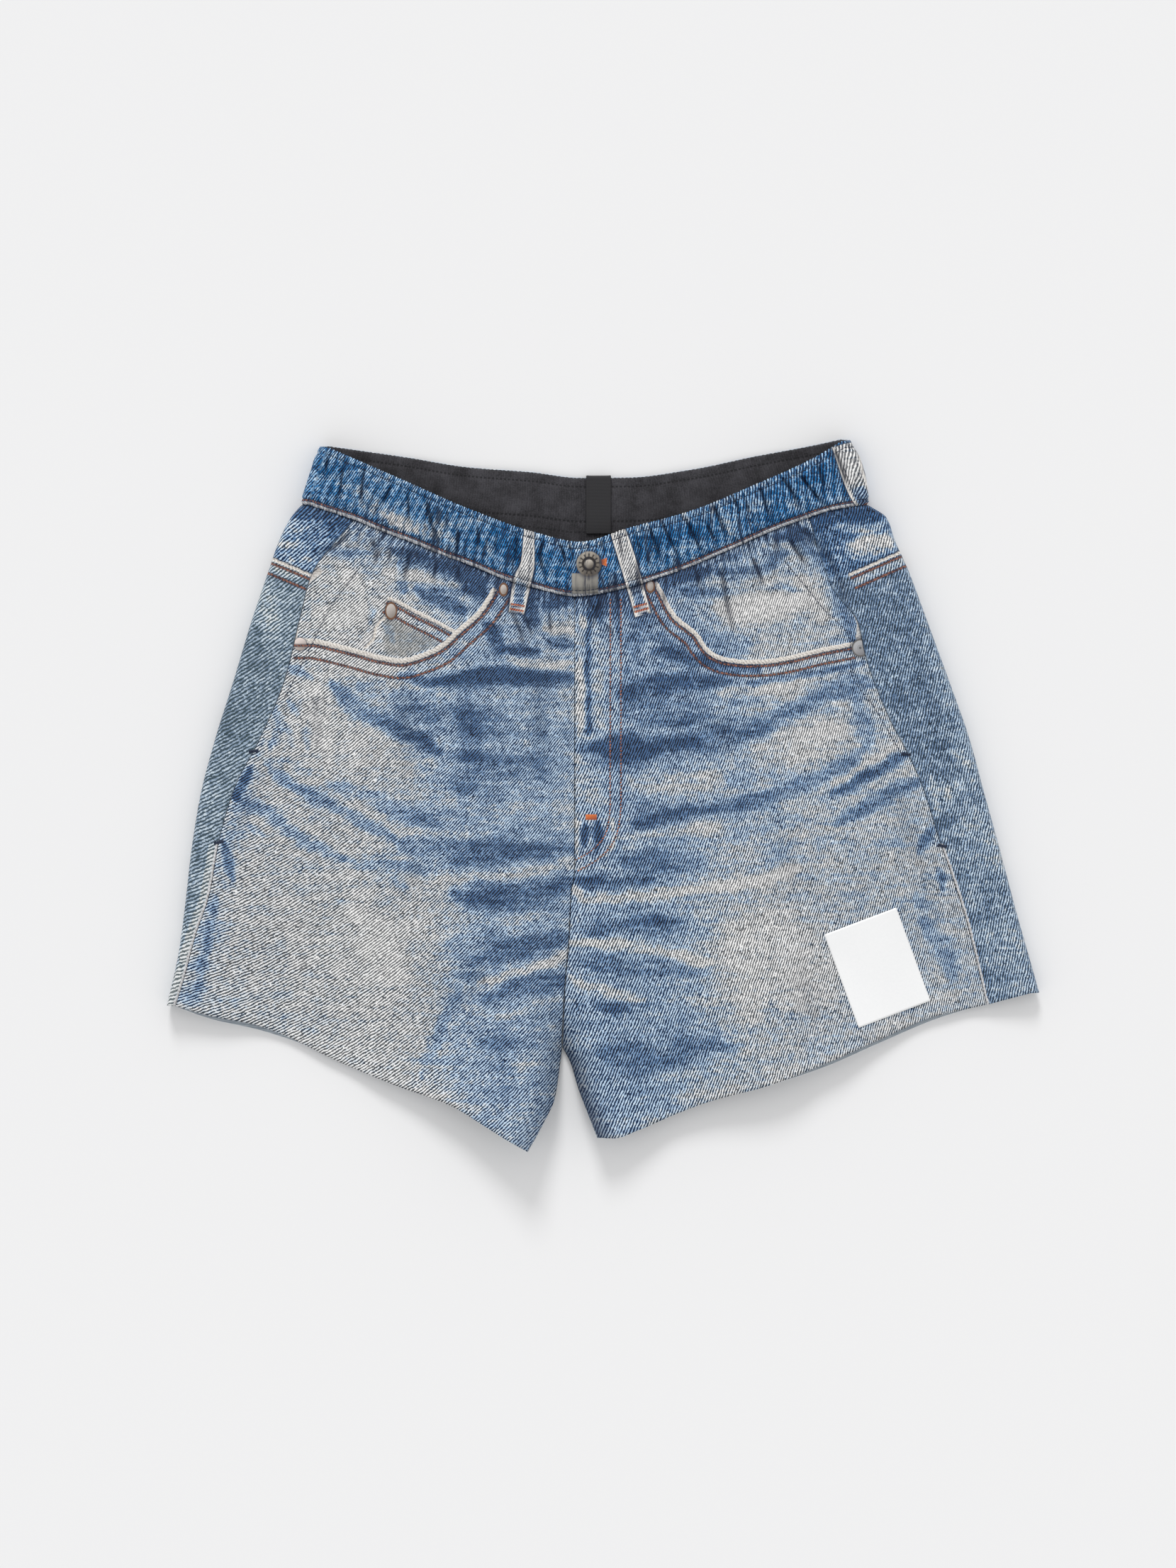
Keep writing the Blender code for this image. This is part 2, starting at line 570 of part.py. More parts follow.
def leg(leg_sizes, name):
    """The front, the back and the pocket bag of one leg."""
    points, normals = leg_surface(leg_sizes)
    side = leg_sizes["side"]
    seam = FRONT_COLUMNS
    front = trimmed(points[:, :seam + 1], side, False, True)
    back = trimmed(points[:, seam:], side, True, False)
    front_piece = wall("front_" + name, front, normals[:, :seam + 1], PANEL, "front")
    wall("back_" + name, back, normals[:, seam:], PANEL, "back")
    rows = slice(BAG_ROWS[0], BAG_ROWS[1] + 1)
    columns = slice(BAG_COLUMNS[0], BAG_COLUMNS[1] + 1)
    inward = PANEL / 2 + SEAM + POCKET / 2
    bag = points[rows, columns] - normals[rows, columns] * inward
    wall("pocket_bag_" + name, bag, normals[rows, columns], POCKET, "pocket")
    return front_piece


def main():
    for found in list(bpy.data.objects):
        bpy.data.objects.remove(found, do_unlink=True)
    leg(RIGHT_LEG, "right")
    left_front = leg(LEFT_LEG, "left")
    waistband()
    lining()
    inner_tab()
    leg_label(left_front)


main()
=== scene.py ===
# %% [markdown]
# # Athletic shorts, laid flat on their back
#
# The shorts are thin running shorts: four panels of a light shell cloth, an elastic waistband, two
# pocket bags, a tab and a label. The cloth is printed all over as faded blue jeans, so the fly, the
# pockets, the belt loops, the button and the rivets are colour only and stand up nowhere.
#
# Two things have to be right. The first is the cloth itself: soft loft, gathers under the elastic,
# raw-cut hems that stand off the table. It is worked out here as surfaces on a grid, from the same
# few sizes as the solid model. The second is the print. It is built as a recipe: every point of the
# cloth knows how faded it is, how it lies to each printed seam and which way the twill runs, and the
# shader turns those numbers into threads.

import bpy
import numpy as np
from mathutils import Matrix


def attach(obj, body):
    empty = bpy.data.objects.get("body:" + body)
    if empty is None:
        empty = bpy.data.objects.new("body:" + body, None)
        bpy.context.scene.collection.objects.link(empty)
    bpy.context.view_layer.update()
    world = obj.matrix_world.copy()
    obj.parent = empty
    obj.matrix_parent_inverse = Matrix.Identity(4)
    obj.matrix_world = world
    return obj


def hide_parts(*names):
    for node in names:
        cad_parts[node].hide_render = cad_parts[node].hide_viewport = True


MM = 0.001


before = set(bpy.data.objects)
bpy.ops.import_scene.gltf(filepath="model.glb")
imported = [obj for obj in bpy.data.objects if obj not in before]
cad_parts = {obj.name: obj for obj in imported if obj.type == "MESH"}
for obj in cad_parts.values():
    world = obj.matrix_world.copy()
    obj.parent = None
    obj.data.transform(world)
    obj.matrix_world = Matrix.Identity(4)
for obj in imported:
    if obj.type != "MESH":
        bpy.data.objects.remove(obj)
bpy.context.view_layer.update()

# %% [markdown]
# ## Sizes
#
# All sizes are in millimetres. +X is the wearer's left, +Y points to the waist and z = 0 is the
# table. A few tables hold the garment's own outline, a row for each section; everything between the
# rows is a smooth curve.

# %% The garment's sizes
# The solid model's walls, and the thinner cloth that is shown, whose outer face is the wall's.
PANEL = 1.2
BAND = 1.4
LINING = 1.2
POCKET = 1.0
LABEL = 1.0
SEAM = 0.3
LAY = 0.4
SHELL_CLOTH = 0.5

WAIST_LOFT = 13.5
TOP_LOFT = 14.5
CROTCH_LOFT = 2.7
FOLD_DEPTH = 5.0
FOLD_SHARE = 0.45
INNER_ROLL = 28.0
BACK_ROLL = 26.0
CROTCH_ROW = 0.82
HEM_BLEND_START = 0.58
LEG_LENGTH = 330.0

# The waist, from the wearer's right (share 0) to the left (share 1): distances to +Y.
#        share, seam front, seam back, top front, top back
WAIST = ((0.00, 176.0, 176.0, 211.6, 211.6),
         (0.08, 166.8, 173.0, 200.4, 207.9),
         (0.16, 156.2, 170.2, 189.2, 204.2),
         (0.28, 140.1, 163.2, 172.3, 198.0),
         (0.40, 125.0, 159.4, 158.5, 195.0),
         (0.49, 119.0, 156.4, 152.2, 191.6),
         (0.58, 124.9, 156.2, 160.4, 191.8),
         (0.70, 139.0, 161.4, 171.0, 196.6),
         (0.82, 157.0, 169.8, 186.8, 204.6),
         (0.92, 169.5, 175.0, 201.2, 210.6),
         (1.00, 175.4, 175.4, 216.2, 216.2))

# The band's two folded sides: level (0 the seam, 1 the top edge), right x, left x.
BAND_SIDES = ((0.0, -182.8, 160.4), (0.5, -177.0, 157.2), (1.0, -171.6, 149.6))

# The centre seam: y, x. Then its height and, below the crotch, the inseam ridge's: row, height, and
# row, share of the hem tip's lift.
CENTRE = ((130.0, -17.2), (-46.0, -17.2), (-60.0, -19.4), (-86.0, -20.6), (-117.0, -23.2),
          (-152.6, -24.9))
CENTRE_LOFT = ((0.0, WAIST_LOFT), (0.1, 13.6), (0.3, 13.2), (0.55, 10.5), (0.7, 6.5),
               (CROTCH_ROW, CROTCH_LOFT))
INSEAM_RIDGE = ((0.88, 0.22), (0.94, 0.56), (1.0, 1.0))

# Height of the front over the table: a row down the leg, a column across it.
LOFT_COLUMNS = (0, 0.25, 0.5, 0.75, 1, 1.25)
#        row, then the height at each of those columns; the last is the outer fold
LOFT = ((0.00, 13.5, 13.5, 13.5, 13.5, 13.5, 13.5),
        (0.10, 13.7, 14.2, 14.2, 13.9, 13.4, 12.8),
        (0.30, 13.5, 15.0, 15.2, 14.4, 13.4, 12.2),
        (0.55, 12.0, 15.5, 16.0, 14.8, 13.2, 12.0),
        (0.82, 9.0, 16.0, 15.0, 13.5, 12.5, 12.0))

RIGHT_LEG = {
    "side": -1,
    "side_seam_top": -150.9,
    #              y, x
    "side_seam": ((131.6, -176.3), (105.8, -183.2), (70.5, -191.8), (25.8, -211.1), (8.6, -220.6),
                  (-29.2, -232.2), (-60.2, -237.8), (-86.0, -246.4), (-111.8, -253.3), (-128.1, -258.4)),
    "outline": ((167.7, -189.6), (154.8, -196.1), (137.6, -202.1), (103.2, -213.7), (68.8, -224.0),
                (34.4, -234.8), (0.0, -243.8), (-34.4, -249.4), (-68.8, -253.3), (-94.6, -256.7),
                (-128.1, -264.0)),
    "inseam": ((-152.6, -24.9), (-169.9, -27.1), (-184.0, -29.4), (-200.0, -37.0), (-215.0, -45.6)),
    #        x, front y, back y, lift of the front
    "hem": ((-45.6, -215.0, -215.0, 30.0),
            (-56.3, -209.4, -207.0, 27.0),
            (-73.5, -199.1, -195.0, 22.0),
            (-90.7, -189.2, -185.0, 17.0),
            (-125.1, -177.2, -173.5, 9.0),
            (-159.5, -163.4, -161.0, 4.6),
            (-193.9, -147.1, -148.2, 3.6),
            (-211.1, -141.0, -143.2, 4.8),
            (-236.9, -135.9, -137.6, 9.0),
            (-264.0, -128.1, -128.1, 14.0)),
}

LEFT_LEG = {
    "side": 1,
    "side_seam_top": 124.3,
    "side_seam": ((124.7, 138.0), (104.1, 153.5), (82.1, 158.7), (46.4, 172.4), (24.1, 184.0),
                  (6.9, 191.8), (-30.1, 203.8), (-50.3, 211.1), (-78.3, 220.2), (-127.7, 232.2)),
    "outline": ((167.7, 171.6), (154.8, 176.3), (137.6, 184.0), (103.2, 196.9), (68.8, 209.4),
                (34.4, 221.5), (0.0, 230.9), (-34.4, 240.4), (-68.8, 249.4), (-94.6, 256.7),
                (-120.4, 264.0)),
    "inseam": ((-152.6, -24.9), (-163.4, -19.4), (-176.7, -15.5), (-193.5, -9.0), (-207.3, -3.4)),
    "hem": ((-3.4, -207.3, -207.3, 20.0),
            (6.5, -207.7, -205.5, 18.5),
            (21.1, -203.0, -199.5, 15.0),
            (42.6, -194.0, -190.5, 10.8),
            (64.1, -185.8, -183.5, 12.0),
            (98.5, -176.3, -177.4, 17.0),
            (132.9, -163.4, -166.8, 14.0),
            (167.3, -148.4, -152.0, 7.0),
            (201.7, -134.2, -137.6, 3.8),
            (218.9, -130.3, -132.2, 4.0),
            (264.0, -120.4, -120.4, 12.0)),
}

# The largest soft folds of the fronts: from one end to the other, half width, height.
FOLD_START = 25.0
FOLDS = ((-118.7, 30.0, -118.7, -8.0, 9.0, -2.0),
         (-43.4, 70.0, -41.0, 0.0, 8.0, -2.4),
         (-86.4, -112.0, -108.0, -163.0, 12.0, -3.0),
         (107.0, -26.0, 108.0, -78.0, 10.0, -2.2),
         (126.0, -112.0, 127.0, -155.0, 12.0, -2.8),
         (21.0, 60.0, 4.0, -26.0, 14.0, 1.8),
         (-165.0, 60.0, -185.0, -20.0, 13.0, 1.6),
         (60.0, 95.0, 66.0, 40.0, 8.0, -1.6),
         (-90.0, 88.0, -84.0, 40.0, 8.0, -1.6),
         (150.0, 40.0, 158.0, -10.0, 10.0, -1.8))

# Gathers below the waist seam: amount, rate and start of the slow waves that make them uneven.
PANEL_GATHERS = 9
PANEL_GATHER_HEIGHT = 1.5
PANEL_GATHER_REACH = 52.0
PANEL_GATHER_SHARPNESS = 1.3
PANEL_PLACE_WAVES = ((0.28, 7.1, 0.0), (0.16, 17.3, 1.0))
PANEL_HEIGHT_WAVE = (0.2, 9.7, 0.6)
PANEL_REACH_WAVE = (0.35, 12.9, 2.0)
GATHER_START = 7.0
GATHER_END_COLUMNS = (1.15, 1.25)

# %% [markdown]
# ## Curves and grids
#
# A table gives a size at a few places only. `smooth` draws the curve between them that never swings
# past a value, as a tailor's curve does. `step_up` is the soft step that starts and ends a form.

# %% Curves through a few values
TURN = 2 * np.pi


def smooth(knots, values, at):
    """A cubic through the knots whose slope at each is the harmonic mean of its neighbours' slopes."""
    knots = np.asarray(knots, float)
    values = np.asarray(values, float)
    if knots[0] > knots[-1]:
        knots, values = knots[::-1], values[::-1]
    step = np.diff(knots)
    slope = np.diff(values) / step
    before, after = slope[:-1], slope[1:]
    same_way = before * after > 0
    weight = step[1:] + 2 * step[:-1], 2 * step[1:] + step[:-1]
    safe_before = np.where(same_way, before, 1)
    safe_after = np.where(same_way, after, 1)
    mean = 3 * (step[:-1] + step[1:]) / (weight[1] / safe_before + weight[0] / safe_after)
    tangent = np.concatenate([slope[:1], np.where(same_way, mean, 0), slope[-1:]])
    at = np.clip(at, knots[0], knots[-1])
    cell = np.clip(np.searchsorted(knots, at, side="right") - 1, 0, len(step) - 1)
    t = (at - knots[cell]) / step[cell]
    return (values[cell] * (1 + 2 * t) * (1 - t) ** 2
            + step[cell] * tangent[cell] * t * (1 - t) ** 2
            + values[cell + 1] * t * t * (3 - 2 * t)
            + step[cell] * tangent[cell + 1] * t * t * (t - 1))


def column(table, index):
    """One column of a table."""
    return [row[index] for row in table]


def step_up(low, high, at):
    """0 below low, 1 above high, and 3t² - 2t³ between."""
    t = np.clip((at - low) / (high - low), 0, 1)
    return t * t * (3 - 2 * t)


def bell(away, width):
    """1 in the middle, falling off as exp(-(away / width)²)."""
    return np.exp(-(away / width) ** 2)


def uneven(at, mean, *waves):
    """A mean with slow sine waves added; each wave is its amount, rate and start."""
    return mean + sum(amount * np.sin(rate * at + start) for amount, rate, start in waves)


def unit(vectors):
    """Vectors divided by their own lengths."""
    return vectors / np.linalg.norm(vectors, axis=-1, keepdims=True)


def lengths_along(path):
    """The length of a path up to each of its points."""
    steps = np.linalg.norm(np.diff(path, axis=0), axis=-1)
    return np.concatenate([[0], np.cumsum(steps)])


# %% [markdown]
# ## The waist line
#
# The elastic pulls the waist into a shallow curve, deeper at the front than at the back. Both the
# band and the panels take their edges from this one curve, so they always meet.

# %% The waist line
def waist_y(level, share, back):
    """Distance to +Y of the waist: the seam's curve plus level times the way up to the top edge."""
    shares = column(WAIST, 0)
    seam = smooth(shares, column(WAIST, 2 if back else 1), share)
    top = smooth(shares, column(WAIST, 4 if back else 3), share)
    return seam + level * (top - seam)


def band_sides(level):
    """The x of the band's two folded sides at a level."""
    levels = column(BAND_SIDES, 0)
    return smooth(levels, column(BAND_SIDES, 1), level), smooth(levels, column(BAND_SIDES, 2), level)


def seam_y(x, back):
    """Distance to +Y of the waist seam above or below a given x."""
    start, end = band_sides(0)
    return waist_y(0, (x - start) / (end - start), back)


# %% [markdown]
# ## One leg as one surface
#
# A leg is a tube of cloth pressed flat. In rows it runs from the waist seam to the hem; in columns
# it runs from the centre front to the side seam, on over the side panel, round the outer fold and
# back under to the centre back. Each flat stretch is a Coons patch: a blend of its four edges.

# %% How finely a leg is divided
LEG_ROWS = 196
ROW_CROWDING = 0.3
FRONT_COLUMNS = 238
FLAP_COLUMNS = 30
FOLD_COLUMNS = 14
FLOOR_COLUMNS = 64
FLAP_WAVE = 0.25

row_places = np.linspace(0, 1, LEG_ROWS + 1)
ROWS = row_places * (1 - ROW_CROWDING + ROW_CROWDING * row_places)
print("first row, mm:", round(ROWS[1] * LEG_LENGTH, 2),
      " last row, mm:", round((1 - ROWS[-2]) * LEG_LENGTH, 2))


# %% Edges and patches
def patch(top, bottom, start, end, shares):
    """A Coons patch: the blend of top and bottom, plus the blend of start and end, less the corners'."""
    v = ROWS[:, None, None]
    u = shares[None, :, None]
    across = (1 - v) * top[None] + v * bottom[None]
    along = (1 - u) * start[:, None] + u * end[:, None]
    corners = ((1 - u) * (1 - v) * top[0] + u * (1 - v) * top[-1]
               + (1 - u) * v * bottom[0] + u * v * bottom[-1])
    return across + along - corners


def edge_down(table, first_y, rows):
    """Points of a seam that runs down the leg, evenly spaced in y, from its table of y and x."""
    y = first_y + rows * (table[-1][0] - first_y)
    return np.stack([smooth(column(table, 0), column(table, 1), y), y], axis=1)


def inner_edge(leg, back):
    """The centre seam down to the crotch, then the leg's own inseam."""
    above = ROWS <= CROTCH_ROW
    centre_top = seam_y(CENTRE[0][1], back) - SEAM
    upper = edge_down(CENTRE, centre_top, ROWS[above] / CROTCH_ROW)
    lower_rows = (ROWS[~above] - CROTCH_ROW) / (1 - CROTCH_ROW)
    lower = edge_down(leg["inseam"], CENTRE[-1][0], lower_rows)
    return np.concatenate([upper, lower])


def line_top(x_from, x_to, shares, back):
    """The panel's top edge, a seam's gap under the waist line."""
    x = x_from + shares * (x_to - x_from)
    return np.stack([x, seam_y(x, back) - SEAM], axis=1)


def line_hem(leg, x_from, x_to, shares, back):
    """The raw-cut hem, from its table of x and y."""
    x = x_from + shares * (x_to - x_from)
    inner_first = np.array(leg["hem"])
    return np.stack([x, smooth(inner_first[:, 0], inner_first[:, 2 if back else 1], x)], axis=1)


def fold_line(leg, side_seam, back):
    """Where the flat cloth turns into the outer fold, and how deep the fold is, row by row."""
    end_x = band_sides(0)[0 if leg["side"] < 0 else 1]
    outline = ((seam_y(end_x, back), end_x),) + leg["outline"]
    line = edge_down(outline, outline[0][0], ROWS)
    depth = np.minimum(FOLD_DEPTH, FOLD_SHARE * (np.abs(line[:, 0] - side_seam[:, 0]) - PANEL / 2))
    line[:, 0] -= leg["side"] * (depth + PANEL / 2)
    line[:, 1] += (seam_y(line[0, 0], back) - SEAM - line[0, 1]) * (1 - ROWS)
    return line, depth


# %% Heights of the front
def gathers(wave, depth):
    """Outward pleats below the waist seam: a raised cosine along it, fading with depth as a bell."""
    phase = uneven(wave, PANEL_GATHERS * wave, *PANEL_PLACE_WAVES)
    crest = (0.5 + 0.5 * np.cos(TURN * phase)) ** PANEL_GATHER_SHARPNESS
    height = PANEL_GATHER_HEIGHT * uneven(wave, 0.8, PANEL_HEIGHT_WAVE)
    reach = PANEL_GATHER_REACH * uneven(wave, 0.8, PANEL_REACH_WAVE)
    return height * crest * step_up(0, GATHER_START, depth) * bell(depth, reach)


def beside(x, y, x0, y0, x1, y1):
    """How far points lie from the stretch between two ends."""
    run_x, run_y = x1 - x0, y1 - y0
    share = np.clip(((x - x0) * run_x + (y - y0) * run_y) / (run_x ** 2 + run_y ** 2), 0, 1)
    return np.hypot(x - x0 - share * run_x, y - y0 - share * run_y)


def main_folds(x, y):
    """The height that the largest folds add: a bell across each fold's line."""
    total = np.zeros_like(x)
    for *ends, width, height in FOLDS:
        total += height * bell(beside(x, y, *ends), width)
    return total


def front_heights(leg, plan, wave, hem_x):
    """Heights of the front and of the side panel beside it: the loft table, blended into the hem's
    own lift, rolled down to the centre seam, with folds and gathers on top."""
    v = ROWS[:, None]
    rows = column(LOFT, 0)
    at_columns = [smooth(rows, column(LOFT, 1 + i), ROWS) for i in range(len(LOFT_COLUMNS))]
    body = np.stack([smooth(LOFT_COLUMNS, heights, wave) for heights in np.array(at_columns).T])
    hem = np.array(leg["hem"])
    lift = smooth(hem[:, 0], hem[:, 3], hem_x)[None]
    height = body + (lift - body) * step_up(HEM_BLEND_START, 1, v)
    rise = hem[0, 3] - CROTCH_LOFT
    ridge = tuple((row, CROTCH_LOFT + share * rise) for row, share in INSEAM_RIDGE)
    edge = smooth(column(CENTRE_LOFT + ridge, 0), column(CENTRE_LOFT + ridge, 1), ROWS)[:, None]
    from_edge = np.abs(plan[..., 0] - plan[:, :1, 0])
    roll = np.clip(1 - from_edge / INNER_ROLL, 0, 1) ** 2
    height = height + (edge - height[:, :1]) * roll
    depth = seam_y(plan[..., 0], False) - plan[..., 1]
    folds = main_folds(plan[..., 0], plan[..., 1]) * step_up(0, FOLD_START, depth)
    height = np.maximum(height + folds * (1 - roll), CROTCH_LOFT)
    gathered = 1 - step_up(*GATHER_END_COLUMNS, wave)[None]
    return height + gathers(wave, depth) * gathered * (1 - roll * step_up(0, CROTCH_ROW, v)), edge[:, 0]


# %% The leg's surface
def leg_surface(leg):
    """The middle of the leg's wall and its outward normals, as rows by columns.

    The outer fold is half an ellipse: its depth times the sine of the turn outwards, and half the
    leg's height times the cosine up and down.
    """
    side = leg["side"]
    floor_z = PANEL / 2
    seam_x = leg["side_seam_top"]
    seam_start = seam_y(seam_x, False) - SEAM
    side_seam = edge_down(((seam_start, seam_x),) + leg["side_seam"], seam_start, ROWS)
    fold, depth = fold_line(leg, side_seam, False)
    back_fold = fold_line(leg, side_seam, True)[0]

    front_shares = np.linspace(0, 1, FRONT_COLUMNS + 1)
    front_edge = inner_edge(leg, False)
    front = patch(line_top(front_edge[0, 0], seam_x, front_shares, False),
                  line_hem(leg, front_edge[-1, 0], side_seam[-1, 0], front_shares, False),
                  front_edge, side_seam, front_shares)
    flap_shares = np.linspace(0, 1, FLAP_COLUMNS + 1)
    flap = patch(line_top(seam_x, fold[0, 0], flap_shares, False),
                 line_hem(leg, side_seam[-1, 0], fold[-1, 0], flap_shares, False),
                 side_seam, fold, flap_shares)
    floor_shares = np.linspace(0, 1, FLOOR_COLUMNS + 1)
    back_edge = inner_edge(leg, True)
    floor = patch(line_top(fold[0, 0], back_edge[0, 0], floor_shares, True),
                  line_hem(leg, fold[-1, 0], back_edge[-1, 0], floor_shares, True),
                  back_fold, back_edge, floor_shares)

    over = np.concatenate([front, flap[:, 1:]], axis=1)
    wave = np.concatenate([front_shares, 1 + FLAP_WAVE * flap_shares[1:]])
    over_z, edge = front_heights(leg, over, wave, over[-1, :, 0])
    over = np.concatenate([over, over_z[..., None]], axis=2)

    turn = np.linspace(0, np.pi, FOLD_COLUMNS + 1)[None, 1:-1]
    middle = (over[:, -1:, 2] + floor_z) / 2
    radius = (over[:, -1:, 2] - floor_z) / 2
    drift = turn / np.pi * (floor[:, :1, 1] - over[:, -1:, 1])
    fold_points = np.stack([over[:, -1:, 0] + side * depth[:, None] * np.sin(turn),
                            over[:, -1:, 1] + drift,
                            middle + radius * np.cos(turn)], axis=2)

    back_lift = np.where(ROWS < CROTCH_ROW, 0, edge - PANEL - LAY - floor_z)
    from_edge = np.abs(floor[..., 0] - floor[:, -1:, 0])
    rise = back_lift[:, None] * np.clip(1 - from_edge / BACK_ROLL, 0, 1) ** 2
    under = np.concatenate([floor, (floor_z + rise)[..., None]], axis=2)

    points = np.concatenate([over, fold_points, under], axis=1)
    normals = unit(np.cross(np.gradient(points, axis=1), np.gradient(points, axis=0))) * -side
    return points, normals


right_points, right_normals = leg_surface(RIGHT_LEG)
left_points, left_normals = leg_surface(LEFT_LEG)
print("each leg's grid:", right_points.shape[:2], " highest, mm:", round(right_points[..., 2].max(), 1))

# %% [markdown]
# ## Lines drawn on the cloth
#
# Creases, printed seams and faded streaks all follow lines, so one helper serves them all. Give it
# a few points of a line, and it tells for every place on the cloth how far the line is and how far
# along it the nearest point lies.

# %% Distance to a drawn line
def drawn(points, pieces):
    """The line as short straight stretches: x and y are each a smooth curve of the length along it."""
    points = np.asarray(points, float)
    reach = lengths_along(points)
    at = np.linspace(0, reach[-1], pieces + 1)
    return np.stack([smooth(reach, points[:, 0], at), smooth(reach, points[:, 1], at)], axis=1)


def guide(x, y, points, pieces=None):
    """For each place: its distance to the line, over 0 on the line's left, the length along the line
    to the nearest point, and how far inside the line's ends that is (under 0 past them)."""
    pieces = pieces or (1 if len(points) == 2 else 5 * len(points))
    path = drawn(points, pieces)
    runs = np.diff(path, axis=0)
    lengths = np.hypot(*runs.T)
    total = lengths.sum()
    best = np.full(x.shape, np.inf)
    away = np.zeros(x.shape)
    along = np.zeros(x.shape)
    before = 0.0
    for (x0, y0), (run_x, run_y), length in zip(path, runs, lengths):
        forward = ((x - x0) * run_x + (y - y0) * run_y) / length
        aside = ((y - y0) * run_x - (x - x0) * run_y) / length
        here = before + forward
        past = forward - np.clip(forward, 0, length)
        is_end = (here < 0) | (here > total)
        far = np.hypot(aside, past)
        nearer = far < best
        best = np.where(nearer, far, best)
        away = np.where(nearer, np.where(is_end, aside, np.copysign(far, aside)), away)
        along = np.where(nearer, np.where(is_end, here, before + np.clip(forward, 0, length)), along)
        before += length
    return away, along, np.minimum(along, total - along)


def around(x, y, points, reach):
    """Which places lie in the box round a line's points, widened by a reach."""
    (low_x, low_y), (high_x, high_y) = np.min(points, axis=0) - reach, np.max(points, axis=0) + reach
    return (x > low_x) & (x < high_x) & (y > low_y) & (y < high_y)


# %% [markdown]
# ## Creases
#
# Elastic draws the waist in, so the cloth stands in pleats along it. A pleat looks like a narrow dark
# trough between two soft lips. The strong ones are listed one by one, deepest at the first point;
# a cloth simulation could make pleats too, but not these ones in these places.

# %% Creases of the two fronts
# Each row: depth, half width, then the points the crease runs through.
RIGHT_CREASES = (
    (1.2, 1.3, (-128.6, 149), (-129.4, 137.6)), (1.9, 1.5, (-116.5, 146), (-121.7, 123)),
    (1.8, 1.5, (-114, 146.5), (-110, 140)), (1.3, 1.3, (-101, 142), (-102.3, 124)),
    (1.1, 1.3, (-87.7, 136.5), (-87.3, 124)), (1.3, 1.8, (-55, 110), (-49, 94), (-47.3, 81)),
    (1.1, 1.5, (-47.3, 108), (-41.7, 91)), (0.9, 1.5, (-32.3, 108), (-31.8, 93)),
    (1.4, 1.8, (-153, 157.5), (-165, 147.5), (-179, 142.5)), (0.9, 2, (-140, 155), (-137, 142), (-139, 132)),
    (1, 4.5, (-173.7, 58), (-172, 19)), (1, 5.5, (-119.5, 60), (-116.5, -12)), (1, 5.5, (-40, 70), (-37, 8)),
    (1, 5, (-110, -42), (-119.5, -67)), (1.2, 5.5, (-71.8, -108), (-96, -139)),
    (0.5, 0.6, (-147.5, 136), (-166, 110), (-178, 86), (-192.2, 58.5)),
    (0.8, 7, (-200, 20), (-222, -30), (-230, -70)))
LEFT_CREASES = (
    (1.1, 1.3, (56.8, 133), (58, 122)), (1.9, 1.8, (71.4, 136), (77, 105), (82, 88)),
    (1.3, 1.4, (90.3, 142), (97.2, 125)), (2, 1.6, (111.8, 154), (120, 142.3), (125.5, 133)),
    (1.5, 2.4, (121.3, 158), (132, 148), (140.2, 134.6), (148.4, 107.5), (149.8, 92)),
    (0.9, 1.3, (-8.6, 118), (-8.4, 110)), (1.1, 1.4, (-1.7, 117), (-3.9, 109), (-7.5, 98)),
    (1, 1.4, (7.7, 121), (7.9, 110)), (0.9, 1.4, (36, 122), (38, 112)), (1, 5.5, (69.2, 45), (77, 13)),
    (1.2, 6.5, (111.4, -28), (115.2, -78)), (1.2, 7, (120, -110), (134, -158)),
    (0.5, 0.6, (109.2, 141), (131, 114), (149.2, 90.7)), (0.5, 0.6, (149.2, 77), (165, 50), (180.6, 23.2)),
    (0.9, 6, (176, 0), (196, -60), (208, -100)))
# Low on the hidden back the elastic gathers the cloth too: ridges up from the table.
BACK_CREASES = (
    (0.7, 2.4, (-140, 170), (-143, 140)), (0.9, 3, (-112, 163), (-108, 120)),
    (0.6, 2.2, (-84, 161), (-85, 138)), (0.9, 2.6, (-52, 158), (-47, 118)),
    (0.7, 2.2, (-30, 157), (-31, 136)), (0.7, 2.4, (8, 156), (10, 130)), (0.9, 3, (36, 157), (33, 112)),
    (0.6, 2, (62, 160), (64, 140)), (0.9, 2.6, (92, 163), (97, 122)), (0.7, 2.4, (122, 169), (127, 143)),
    (0.8, 7, (-120, 40), (-128, -50)), (0.8, 8, (90, 60), (110, -40)), (0.7, 9, (-190, -60), (-120, -100)),
    (0.7, 9, (180, -70), (120, -110)))
LIP_SHARE = 0.55
LIP_PLACE = 2.3
LIP_WIDTH = 1.3
CREASE_HEAD = 3.0
CREASE_TAIL = 0.6
# A trough as wide as this or narrower gets the darkest painted shade; wider ones get paler by the power.
NARROW, NARROW_POWER = 1.6, 1.1
SHADE_WIDTH = 0.8


def creased(x, y, creases, as_shade=False):
    """Sum of the creases: lips less a trough, each a bell across the line, at full depth near the
    first point and running out over the last part of the length. As shade, how dark the painted
    shade in the troughs is: the narrower the darker."""
    total = np.zeros_like(x)
    for depth, width, *points in creases:
        near = around(x, y, points, 5 * width)
        away, along, _ = guide(x[near], y[near], points)
        length = lengths_along(points)[-1]
        ends = step_up(-CREASE_HEAD, CREASE_HEAD, along) * step_up(0, CREASE_TAIL * length, length - along)
        if as_shade:
            dark = min(1, NARROW / width) ** NARROW_POWER * min(1, depth)
            total[near] += dark * ends * bell(away, SHADE_WIDTH * width)
        else:
            lips = LIP_SHARE * bell(np.abs(away) - LIP_PLACE * width, LIP_WIDTH * width)
            total[near] += depth * ends * (lips - bell(away, width))
    return np.minimum(total, 1) if as_shade else total


